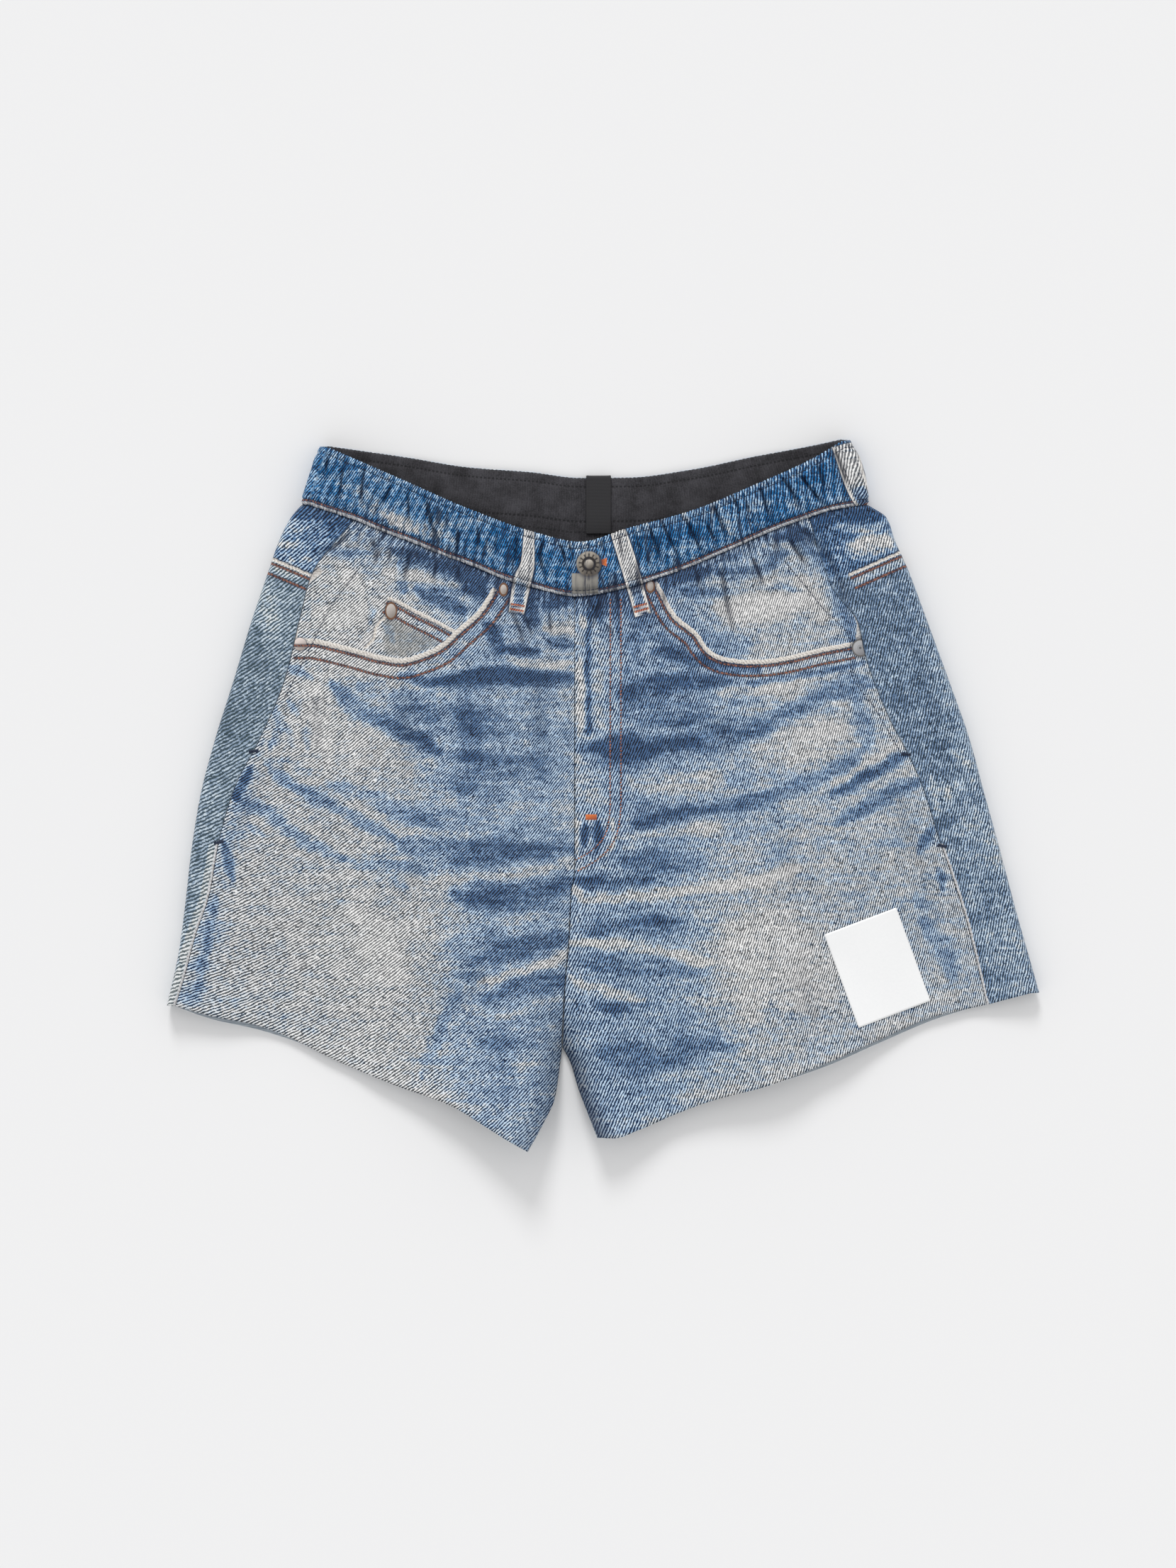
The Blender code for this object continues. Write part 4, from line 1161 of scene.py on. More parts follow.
printed_back_right = back_print("printed cloth, right back", 0.62, 0.16)
printed_back_left = back_print("printed cloth, left back", 0.86, 0.06)

# %% The waistband's print
STEEL_LIGHT, STEEL_DARK, STEEL_DEEP = colour(168, 160, 148), colour(82, 75, 68), colour(40, 36, 34)
BUTTON = (-8.6, 138.8)
BUTTON_SIZE, BUTTON_MIDDLE = 14.8, 5.0
KNURLS, KNURL_REACH = 13.0, 5.3
# The end of the orange buttonhole thread: where it starts, its length, its widening.
THREAD_POINT, THREAD_LENGTH, THREAD_WIDENS = (-4.6, 139.9), 7.2, 0.36

printed_band = Print("printed cloth, waistband", 1.5, 0.9)
printed_band.edge("hem_line", 1.9, colour(242, 242, 242), colour(70, 84, 108), 0.9, 1.2, 1.7)
printed_band.stitches("hem_line", 3.0, STITCH_BROWN, 0.9, 1.9, 0.3, 0.8)
printed_band.spot((-11.0, 127.0), (15.6, 12.0), colour(158, 154, 146), colour(112, 110, 106), square=1.0,
                  shade=0.5)
for loop_name, loop_length in (("loop_right", 52.0), ("loop_left", 54.0), ("loop_side", 44.0)):
    printed_band.loop(loop_name, loop_length)
x, y, _ = printed_band.split(printed_band.place())
from_point = x - THREAD_POINT[0]
beside_it = abs(y - THREAD_POINT[1]) - from_point * THREAD_WIDENS
wedge = (from_point.soft(0.0, 1.2) * from_point.soft(THREAD_LENGTH, THREAD_LENGTH - 1.0)
         * beside_it.soft(0.5, -0.2))
threads = (y * 7.0 + x * 3.0).sine().soft(-0.9, 0.4)
printed_band.lay(wedge, printed_band.mix(threads, colour(150, 66, 34), colour(240, 132, 62)))
printed_band.spot(BUTTON, (BUTTON_SIZE, BUTTON_SIZE), STEEL_LIGHT, STEEL_DARK, ((0.19, 0.30, STEEL_DEEP),))
right_of, above = x - BUTTON[0], y - BUTTON[1]
turned = printed_band.math("ARCTAN2", above, right_of)
squares = [printed_band.math("POWER", part, 2.0) for part in (above, right_of)]
reach = printed_band.math("SQRT", squares[0] + squares[1])
knurls = (turned * KNURLS).sine().soft(0.1, 0.7) * abs(reach - KNURL_REACH).soft(1.3, 0.7)
printed_band.lay(knurls * 0.85, STEEL_DEEP)
printed_band.spot(BUTTON, (BUTTON_MIDDLE, BUTTON_MIDDLE), colour(204, 196, 184), STEEL_DARK, shade=0.3)
# The band's finest creases, as painted shade.
printed_band.finish(printed_band.wrinkle_shade(0.10, 0.008, 4.0) * 0.9
                    + printed_band.wrinkle_shade(0.22, 0.012, 8.0) * 0.7)

# %% [markdown]
# ## The other finishes
#
# Inside, the cloth is not printed: its reverse is a pale grey-blue with a faint rib. The elastic is
# charcoal and brushed, so light dies on it. The tab is a tight black ribbon, the label a smooth film.

# %% Reverse side and raw edge
REVERSE_RIBS = 1.6

reverse_side = Finish("reverse of the printed cloth", 0.75)
rib = (reverse_side.split(reverse_side.mark("ribs"))[0] * (TURN * REVERSE_RIBS)).sine()
share = rib * 0.2 + reverse_side.noise(reverse_side.place(), 0.2, 2.0) * 0.7 + 0.15
reverse_side.paint(reverse_side.mix(share, colour(120, 132, 146), colour(196, 204, 210)))
reverse_side.bump(reverse_side.weave(), 0.4, 0.0001)

cut_edge = Finish("raw-cut edge", 0.8)
flecks = cut_edge.noise(cut_edge.place(), 1.4, 2.0).soft(0.4, 0.62)
cut_edge.paint(cut_edge.mix(flecks, colour(82, 102, 128), colour(206, 214, 222)))

# %% Elastic, pocket cloth, tab, label and threads
ELASTIC_RIB, ELASTIC_STITCH = 1.45, 2.4
POCKET_WEAVE = 1.1
TAB_PICK, TAB_WARP = 0.55, 0.7
#                 distance from the elastic's top edge, half width, strength of each stitched line
ELASTIC_LINES = ((5.0, 0.8, 0.7), (26.0, 0.9, 0.8), (32.5, 0.8, 0.6))

brushed_elastic = Finish("brushed elastic", 0.95, 0.25, 0.6, 0.1)
along, from_edge, _ = brushed_elastic.split(brushed_elastic.mark("ribs"))
fuzz = brushed_elastic.noise(brushed_elastic.place(), 1.5, 4.0, 0.75)
patches = brushed_elastic.noise(brushed_elastic.place(), 0.09, 4.0, 0.65)
rib = (along * (TURN / ELASTIC_RIB)).sine()
level = (fuzz - 0.5) * 2.2 + (patches - 0.5) * 2.0 + rib * 0.08 + 0.42
shade = brushed_elastic.mix(level.soft(-0.3, 1.2), colour(28, 27, 30), colour(72, 71, 76))
dash = (along * (TURN / ELASTIC_STITCH)).sine().soft(-0.7, 0.2)
for middle, half, strength in ELASTIC_LINES:
    near = abs(from_edge - middle).soft(half, half * 0.4)
    shade = brushed_elastic.mix(near * dash * strength, shade, colour(20, 20, 23))
brushed_elastic.paint(shade)
brushed_elastic.bump(fuzz * 0.8 + rib * 0.35, 0.6, 0.0002)

pocket_mesh = Finish("pocket cloth", 0.8)
weave = pocket_mesh.weave(POCKET_WEAVE)
pocket_mesh.paint(pocket_mesh.mix(weave.soft(-0.6, 0.6), colour(96, 106, 120), colour(150, 160, 172)))
pocket_mesh.bump(weave, 0.5, 0.0001)

woven_tab = Finish("woven tab", 0.6)
across, along, _ = woven_tab.split(woven_tab.mark("weave"))
pick = (along * (TURN / TAB_PICK)).sine()
threads = pick * 0.3 + pick * (across * (TURN / TAB_WARP)).sine() * 0.4
woven_tab.paint(woven_tab.mix(threads.soft(-0.6, 0.6), colour(26, 26, 28), colour(54, 53, 56)))
woven_tab.bump(threads, 0.6, 0.00015)

coated_label = Finish("coated label", 0.42, 0.0)
coated_label.inputs["Coat Weight"].default_value = 0.15
grain = coated_label.noise(coated_label.place(), 0.7, 3.0)
coated_label.paint(coated_label.mix(grain, colour(243, 244, 245), colour(250, 250, 250)))
coated_label.bump(grain, 0.25, 0.00008)

blue_thread = Finish("dark blue thread", 0.55)
turns = blue_thread.noise(blue_thread.place(), 3.5, 2.0).soft(0.35, 0.65)
blue_thread.paint(blue_thread.mix(turns, colour(20, 27, 44), colour(48, 60, 86)))

# %% [markdown]
# ## Where the print goes
#
# The print is listed: each printed seam is a line through a few points, each faded streak a
# short stroke with a width and a strength. The marks that the shader reads are worked out from them
# for every point of the cloth. The twill's direction drifts across each panel, as it was cut.

# %% Printed lines
#            the same two loops run over the band and the fronts below it: x, y, half width
LOOP_RIGHT = ((-44.7, 160.0, 2.9), (-45.6, 139.3, 4.1), (-49.0, 128.1, 5.4), (-52.5, 109.2, 4.7))
LOOP_LEFT = ((8.2, 160.5, 4.6), (14.2, 142.3, 5.0), (18.9, 126.4, 5.0), (23.9, 108.0, 4.9))
LOOP_SIDE = ((144.5, 211.0, 6.6), (153.8, 182.0, 5.4), (165.0, 166.0, 4.2))
RIGHT_POCKET = ((-187.0, 92.5), (-176.7, 92.4), (-162.5, 89.6), (-148.4, 86.0), (-133.7, 82.0),
                (-122.0, 80.3), (-109.2, 83.6), (-98.5, 88.6), (-88.2, 97.6), (-74.0, 110.5), (-65.4, 124.0))
RIGHT_COIN = ((-130.3, 118.3), (-122.0, 115.0), (-114.0, 110.5), (-100.0, 103.5), (-89.0, 97.5))
LEFT_POCKET = ((31.4, 127.7), (35.3, 121.0), (39.6, 112.5), (43.9, 106.2), (50.3, 101.0), (56.3, 96.0),
               (60.2, 90.0), (65.5, 84.5), (74.4, 81.0), (87.7, 79.6), (98.5, 80.0), (114.4, 82.6),
               (128.1, 86.0), (151.0, 90.6))
LEFT_SIDE_EDGE = ((153.8, 93.0), (154.6, 101.0), (151.5, 112.0), (147.0, 122.0))
FLY_STITCH = ((7.5, 118.0), (7.5, 40.0), (7.5, -6.0), (5.0, -24.0), (-4.0, -36.0), (-17.5, -44.0))
RIGHT_YOKE = ((-175.5, 131.5), (-201.2, 142.3), (-216.0, 148.0))
RIGHT_YOKE_BEHIND = ((-17.0, 106.0), (-110.0, 122.0), (-216.0, 148.0))
LEFT_YOKE = ((190.0, 150.5), (180.2, 146.2), (148.0, 132.0))
LEFT_YOKE_BEHIND = ((190.0, 150.5), (80.0, 122.0), (-17.0, 106.0))
# Plain patch pockets on the hidden back: an assumption.
RIGHT_PATCH = ((-152.0, 92.0), (-156.0, 28.0), (-116.0, 8.0), (-74.0, 26.0), (-66.0, 88.0), (-152.0, 92.0))
LEFT_PATCH = ((120.0, 90.0), (124.0, 28.0), (84.0, 8.0), (42.0, 26.0), (36.0, 86.0), (120.0, 90.0))
STRIP_FROM_Y = -30.0
RIGHT_SIDE_EDGE = ((-170.3, 135.5), (-181.0, 124.7), (-185.6, 105.0), (-186.2, 92.5))
COIN_FRAY = ((-131.0, 107.0), (-137.0, 101.0), (-138.5, 94.0), (-144.0, 88.0))

#               how the ribs lean: across x, across y, drift with x·y, drift with x²
RIGHT_TWILL = (0.96, 0.65, -0.0008, -0.0023)
LEFT_TWILL = (0.88, 0.36, -0.0004, -0.0014)
BAND_TWILL = (0.93, 0.42, 0.0, 0.0)


def ribs_at(x, y, lean):
    """Ribs counted across them, and millimetres along them: across is -a·x + b·y + c·x·y + d·x²/2."""
    a, b, drift_xy, drift_xx = lean
    across = -a * x + b * y + drift_xy * x * y + drift_xx * x * x / 2
    return vector_mark(across / TWILL_PITCH, b * x + a * y)


def line_mark(x, y, points):
    """A printed line's mark: distance, length along, how far inside its ends."""
    return vector_mark(*guide(x, y, points))


def loop_mark(x, y, loop):
    """As a line's mark, with the distance as a share of the loop's own half width there."""
    table = np.array(loop)
    away, along, inside = guide(x, y, table[:, :2])
    return vector_mark(away / smooth(lengths_along(table[:, :2]), table[:, 2], along), along, inside)


# %% Fades
# Each panel's own fade, then its strokes: strength (over 0 is paler), width, the stroke's points.
# On the right front, the strokes that run down near x = -80 and x = -40 lie along folds of the cloth: there
# the darker fade is painted shade.
RIGHT_FADE = 0.75
RIGHT_FADES = (
    (-0.33, 38, (-52, 190), (-62, 60), (-52, 10), (-48, -60), (-48, -130), (-52, -330)),
    (-0.12, 14, (-165, 150), (-120, 136), (-80, 124)), (-0.15, 26, (-110, 60), (-112, 0), (-118, -40)),
    (-0.08, 20, (-78, 40), (-80, -60), (-84, -110)), (-0.06, 20, (-86, -110), (-80, -160), (-66, -205)),
    (-0.2, 9, (-92, 50), (-72, 41), (-54, 36)), (-0.12, 6, (-180, 3), (-162, -3)),
    (-0.16, 10, (-205, 60), (-222, 0), (-236, -60), (-250, -128)),
    (0.06, 26, (-190, -75), (-160, -105), (-140, -130)), (0.22, 18, (-145, -72), (-126, -108)),
    (0.15, 5, (-180, 84), (-150, 80), (-125, 76)), (-0.35, 4, (-131, 100), (-127, 92)),
    (-0.06, 5.5, (-122, 95), (-110, 90), (-100, 93)), (0.35, 3.4, (-136, 107), (-140, 97), (-145, 89)),
    (-0.5, 4.8, (-100, 68), (-74, 70), (-52, 71), (-34, 70), (-17, 69.5)), (-0.3, 3, (-84, 72.5), (-60, 73)),
    (-0.4, 2.6, (-122, 71), (-108, 68), (-94, 67)), (0.3, 2.4, (-58, 80.5), (-38, 78), (-19, 79)),
    (-0.45, 3.6, (-60, 88), (-50, 87), (-40, 85)), (-0.42, 8, (-47, 119), (-43, 104)),
    (-0.34, 6, (-34, 113), (-22, 117)), (0.3, 2.8, (-36, 101), (-18, 98)),
    (-0.36, 4.4, (-32, 92), (-18, 89.5)), (-0.4, 6, (-70, 102), (-62, 88)),
    (-0.16, 6, (-84, 22), (-60, 18), (-17, 17)), (-0.15, 7, (-84, 60), (-81, 32), (-84, -6)),
    (-0.08, 5, (-40, 58), (-38, 10)), (-0.28, 8, (-146, 64), (-126, 55), (-102, 47)),
    (-0.5, 4.4, (-163, 67), (-153, 55), (-141, 48), (-128, 41), (-114, 34), (-99, 26)),
    (0.18, 7, (-176, 66), (-172, 45), (-166, 24)), (0.16, 9, (-150, 30), (-136, 20), (-118, 14)),
    (0.12, 4, (-98, -4), (-65, -8), (-17, -10)),
    (-0.4, 3.3, (-204, 18), (-192, 9), (-178, -1), (-160, -9), (-143, -18), (-127, -27)),
    (-0.28, 4.2, (-166, 6), (-150, 1), (-134, -6), (-118, -13), (-99, -19)),
    (-0.3, 5.8, (-122, -30), (-106, -34), (-86, -36), (-60, -35), (-36, -34), (-17, -31)),
    (-0.36, 3.6, (-222, -2), (-208, -8), (-196, -16), (-184, -26), (-170, -33), (-156, -40)),
    (-0.22, 3.6, (-156, -40), (-138, -46), (-118, -56)), (-0.24, 3, (-145, -38), (-126, -42), (-108, -48)),
    (-0.28, 2.8, (-214, -18), (-206, -24)),
    (0.26, 2.4, (-104, -52), (-80, -51), (-50, -48), (-30, -43), (-20, -37)),
    (-0.3, 7, (-90, -61), (-62, -62), (-40, -60), (-18, -54)),
    (0.14, 2.8, (-92, -74), (-60, -76), (-30, -72)),
    (-0.28, 5.2, (-78, -103), (-62, -96), (-45, -91), (-18, -87)),
    (0.4, 2.3, (-76, -114), (-60, -110), (-45, -106), (-30, -101), (-19, -96)),
    (-0.26, 5.6, (-70, -124), (-55, -119), (-40, -116), (-20, -111)),
    (0.16, 2.2, (-66, -136), (-45, -129), (-26, -124)), (-0.14, 8, (-74, -150), (-52, -148)),
    (0.1, 3, (-80, -172), (-52, -166), (-38, -160)), (-0.22, 3, (-86, -116), (-97, -140), (-110, -172)),
    (-0.12, 9, (-258, -120), (-228, -132), (-194, -143)), (-0.55, 3, (-214, 15), (-218, 5), (-222, -3)),
    (-0.45, 3.2, (-229, -31), (-226, -40), (-224, -52)),
    (-0.24, 2.4, (-233, -61), (-237, -77), (-241, -97), (-246, -120)),
    (-0.42, 3, (-191, 77), (-184, 73), (-176, 70)), (-0.28, 3.2, (-198, 54), (-196, 40), (-200, 28)),
    (-0.22, 3, (-189, 56), (-184, 47)), (-0.26, 2.6, (-178, 44), (-178, 27)),
    (-0.22, 2.8, (-191, 40), (-187, 28)), (-0.22, 2.6, (-203, 21), (-190, 18), (-176, 14)),
    (-0.45, 4.2, (-113, 123), (-98, 117), (-84, 110)), (-0.45, 4.6, (-84, 124), (-74, 121), (-67, 117)),
    (0.3, 3, (-132, 134), (-106, 131), (-88, 127)), (-0.4, 4.6, (-126, 146), (-100, 138), (-72, 128)),
    (-0.34, 4, (-123, 140), (-121, 122)), (-0.3, 2.2, (-176, 150), (-158, 146), (-140, 146)),
    (-0.26, 4, (-110, 133), (-94, 130)), (-0.3, 3, (-142, 116), (-139, 106), (-142, 99)),
    (0.2, 7, (-160, 138), (-146, 124)), (0.22, 9, (-172, 110), (-156, 104), (-142, 112)),
    (-0.2, 5, (-194, 161), (-172, 158), (-160, 152)))
LEFT_FADE = 0.62
LEFT_FADES = (
    (-0.24, 36, (6, 190), (34, 50), (28, 0), (12, -60), (10, -130), (30, -330)),
    (-0.1, 22, (84, 60), (96, 20), (84, -16)), (0.22, 34, (100, -80), (125, -112)),
    (0.18, 18, (78, -84), (88, -130)), (-0.36, 4.2, (9, 58.5), (24, 64), (42, 67), (58, 68), (76, 68)),
    (-0.3, 3.4, (30, 86), (48, 83), (62, 79)), (-0.4, 5, (60, 83), (74, 77), (92, 75)),
    (-0.4, 1.8, (88, 66), (110, 70.5), (130, 73.5), (157, 79)), (0.16, 2.6, (70, 60), (94, 63), (124, 67)),
    (-0.14, 7, (14, 50), (40, 50), (64, 50)), (-0.1, 8, (20, 38), (46, 39), (78, 44)),
    (0.1, 1.4, (12, 46), (22, 36), (30, 21)),
    (-0.34, 4.6, (-6, 27), (28, 29), (46, 30), (62, 32), (76, 34), (90, 38), (104, 44), (120, 53), (134, 60),
     (148, 65.5), (163, 67.5)), (0.24, 8, (16, 8), (44, 6), (70, 9)),
    (0.22, 16, (96, 26), (120, 32), (138, 38)), (-0.26, 5.4, (153, 58), (157, 42), (161, 28)),
    (-0.52, 3.4, (184, 24), (172, 18), (160, 11), (148, 4), (138, 0)),
    (-0.34, 3.8, (158, 27), (146, 18), (130, 9.5), (112, 2.5), (96, -3), (84, -6), (52, -10), (35, -14),
     (18, -17)), (0.26, 1.6, (180, 30), (166, 23), (152, 14), (138, 6)),
    (-0.42, 4, (190, 7), (178, 3), (164, -5), (150, -13), (140, -18)),
    (0.22, 2.6, (8, -26), (40, -23), (70, -20)), (-0.22, 8, (14, -42), (34, -43), (58, -40)),
    (-0.34, 3.2, (-17, -53), (4, -54), (30, -52)),
    (0.4, 2.8, (-20, -52), (-13, -61), (0, -63.5), (28, -61), (58, -57), (88, -54), (118, -45)),
    (-0.24, 7.5, (16, -78), (46, -79)), (-0.16, 5, (-16, -79), (10, -82)),
    (0.4, 2.8, (-20, -89), (0, -91), (22, -93), (42, -97), (66, -101)),
    (-0.22, 5.4, (-12, -101), (14, -106), (36, -105), (54, -108)),
    (0.36, 2.6, (-20, -111), (-8, -116), (6, -120), (26, -124)), (-0.28, 5, (-2, -128), (14, -129)),
    (-0.2, 10, (0, -155), (21, -160), (38, -163)), (-0.12, 12, (36, -146), (70, -150)),
    (-0.22, 7, (62, 97), (72, 91), (86, 89)), (-0.26, 13, (46, -158), (76, -156)),
    (0.1, 2.6, (30, -172), (60, -166), (84, -158)), (-0.12, 9, (103, -13), (104, -47)),
    (-0.42, 3.4, (199, -21), (194, -29), (191, -36)), (-0.4, 2.8, (203, -45), (206, -57)),
    (-0.28, 5, (193, -77), (204, -90), (212, -112)), (-0.2, 5, (189, -62), (197, -69)),
    (-0.44, 4.2, (36, 134), (49, 132), (64, 135)), (-0.38, 3.4, (68, 132), (90, 135), (111, 146)),
    (-0.2, 3, (48, 122), (73, 121), (119, 123)), (0.4, 12, (72, 112), (92, 114), (116, 116)),
    (0.26, 8, (120, 128), (132, 108)), (-0.4, 4.5, (106, 154), (120, 157), (135, 155)),
    (0.26, 3.6, (119, 164), (135, 158), (148, 147)),
    (-0.38, 4.6, (116, 153), (130, 143), (141, 126), (147, 106), (151, 93)), (-0.16, 9, (22, 116), (20, 84)),
    (-0.18, 5, (34, 95), (47, 82), (55, 75)), (0.3, 2, (-14, 82), (-14, 36)),
    (0.3, 3, (-14, 108), (-11, 100)), (-0.45, 1.4, (-9, 112), (-9, 36)), (0.12, 2.2, (-2, 92), (-2, 34)),
    (-0.34, 6, (-4, 122), (-2, 104)), (-0.3, 2, (8, 118), (9, 98)), (-0.12, 5, (14, 75), (14, 45)),
    (-0.34, 9, (-10, 26), (8, 26), (30, 24)), (0.14, 6, (-10, -2), (2, -3)),
    (-0.5, 3.2, (-11, -18), (-11, -30)), (-0.5, 3, (-3, -18), (-3, -32)),
    (0.3, 1.2, (6, -14), (5, -32), (-4, -40)), (0.3, 1.2, (-16, -14), (-16, -36)))
BACK_RIGHT_FADE = 0.27
BACK_RIGHT_FADES = (
    (0.18, 9, (-200, 160), (-178, 140)), (0.24, 10, (-206, 122), (-200, 96)),
    (0.3, 2.6, (-198, 166), (-184, 162), (-170, 164)), (0.26, 2.2, (-204, 152), (-186, 150)),
    (0.34, 3.4, (-206, 141), (-180, 132)), (-0.1, 26, (-215, 90), (-225, 40)),
    (0.14, 22, (-248, -90), (-262, -120)))
# On the left back, the stroke from (190, 120) down to (252, -95) runs along the outer fold and is painted
# light there, against the fold's own shade.
BACK_LEFT_FADE = 0.22
BACK_LEFT_FADES = (
    (0.48, 9, (150, 148), (170, 152)), (0.14, 9, (212, 8), (218, -34), (226, -66)),
    (0.14, 7, (190, 120), (208, 70), (224, 20), (238, -40), (252, -95)),
    (0.34, 2.4, (142, 162), (160, 160), (172, 166)), (0.28, 2.2, (150, 150), (166, 154), (180, 150)),
    (0.34, 3.4, (152, 128), (186, 143)), (0.34, 2.6, (198, 11), (202, -13)), (0.32, 5, (204, 6), (208, -2)),
    (0.26, 4, (212, 24), (222, 18)), (-0.16, 5, (200, -20), (212, -14)), (0.18, 8, (234, -30), (240, -44)),
    (-0.3, 2.6, (215, -70), (222, -110)), (0.16, 16, (238, -80), (252, -115)))
BAND_FADE = 0.24
BAND_FADES = (
    (0.28, 4, (-148, 176), (-120, 164), (-98, 156)), (0.3, 3, (-132, 168), (-112, 158)),
    (0.26, 3, (-158, 186), (-140, 180)), (0.24, 4, (-100, 164), (-90, 152)),
    (0.2, 3, (-70, 152), (-66, 142)), (0.24, 4, (40, 146), (56, 150)), (0.24, 3.4, (72, 166), (78, 158)),
    (0.26, 4, (86, 170), (100, 176)), (0.2, 4, (112, 176), (120, 172)), (-0.12, 8, (20, 150), (60, 160)),
    (-0.16, 8, (-60, 160), (-48, 140)), (-0.12, 6, (120, 190), (142, 196)))

# What each leg's marks are made from; the strip is the pale one beside the side seam.
RIGHT_PRINT = {
    "creases": RIGHT_CREASES, "twill": RIGHT_TWILL, "fade": RIGHT_FADE, "fades": RIGHT_FADES,
    "lines": {"pocket": RIGHT_POCKET, "coin": RIGHT_COIN, "fray": COIN_FRAY, "side_edge": RIGHT_SIDE_EDGE,
              "loop": LOOP_RIGHT},
    "inner_shade": 0.55, "back_fade": BACK_RIGHT_FADE, "back_fades": BACK_RIGHT_FADES,
    "yokes": (RIGHT_YOKE, RIGHT_YOKE_BEHIND), "patch": RIGHT_PATCH, "strip_width": 5.2}
LEFT_PRINT = {
    "creases": LEFT_CREASES, "twill": LEFT_TWILL, "fade": LEFT_FADE, "fades": LEFT_FADES,
    "lines": {"pocket": LEFT_POCKET, "fly": FLY_STITCH, "side_edge": LEFT_SIDE_EDGE, "loop": LOOP_LEFT},
    "inner_shade": 0.95, "back_fade": BACK_LEFT_FADE, "back_fades": BACK_LEFT_FADES,
    "yokes": (LEFT_YOKE, LEFT_YOKE_BEHIND), "patch": LEFT_PATCH, "strip_width": 0.5}

# %% Marks of the legs
FRONT = slice(0, FRONT_COLUMNS + 1)
BACK = slice(FRONT_COLUMNS, None)
# Of a back's columns, those that show beside the front, and those underneath.
SHOWN = slice(0, FLAP_COLUMNS + FOLD_COLUMNS // 2)
HIDDEN = slice(SHOWN.stop, None)
BACK_RIB_RATE = 0.77  # the backs' ribs stand wider apart than the fronts'
# Darker along the waist seam: by how much, how far below it, how wide; in front and behind.
SEAM_DARK, SEAM_DARK_AT, SEAM_DARK_WIDTH = 0.42, 2, 8
BACK_SEAM_DARK, BACK_SEAM_DARK_AT = 0.28, 4
# Painted light and shade that follow the fine pleats under the waist seam: paler on their ridges, darker in
# their troughs; how much, and how far down.
PLEAT_LIGHT_AND_SHADE, PLEAT_LIGHT_AND_SHADE_REACH = 0.5, 13
STRIP_PALE, STRIP_BLUR = 0.42, 0.8
# A stroke: the share of its width that is left at its ends, and where across it the edge runs out.
THIN_END = 0.45
STROKE_EDGE = (1.9, 0.3)
INNER_SHADE_WIDTH = 9.0
INNER_SHADE_ROWS = (CROTCH_ROW - 0.09, CROTCH_ROW + 0.03)
OFF_THE_LINE = -9.0  # a mark that says so far outside its ends draws nothing
# A little paler towards the hem, where a jean's edge wears.
HEM_PALE = 0.10 * bell((1 - ROWS[:, None]) * LEG_LENGTH, 7.0)


def wandering(x, y):
    """Places moved to and fro by short waves, so that the edges of a stroke run unevenly."""
    return (x + 0.5 * np.sin(y / 3.4 + 1.7 * np.sin(x / 13)) + 0.4 * np.sin(x / 5.1 + y / 7.7),
            y + 0.45 * np.sin(x / 2.9 + 1.2 * np.sin(y / 8)) + 0.6 * np.sin(x / 8.7 - y / 3.9))


def strokes(x, y, table):
    """Sum of strokes: each has full strength over half its width, an edge beyond and thinner ends."""
    x, y = wandering(x, y)
    total = np.zeros_like(x)
    for strength, width, *points in table:
        near = around(x, y, points, 2 * width)
        away, _, inside = guide(x[near], y[near], points)
        reach = width * (THIN_END + (1 - THIN_END) * step_up(-0.5 * width, 3 * width, inside))
        far = np.hypot(away, np.minimum(inside, 0))
        total[near] += strength * step_up(*STROKE_EDGE, far / reach)
    return total


def unrolled(points, side):
    """A place across the cloth as if it lay flat: x over the front, then the length round the fold."""
    steps = np.linalg.norm(np.diff(points, axis=1), axis=-1)
    length = np.concatenate([np.zeros((len(points), 1)), np.cumsum(steps, axis=1)], axis=1)
    length -= length[:, FRONT_COLUMNS:FRONT_COLUMNS + 1]
    seam_x = points[:, FRONT_COLUMNS:FRONT_COLUMNS + 1, 0]
    columns = np.arange(points.shape[1])[None]
    return np.where(columns < FRONT_COLUMNS, points[..., 0], seam_x + side * length)


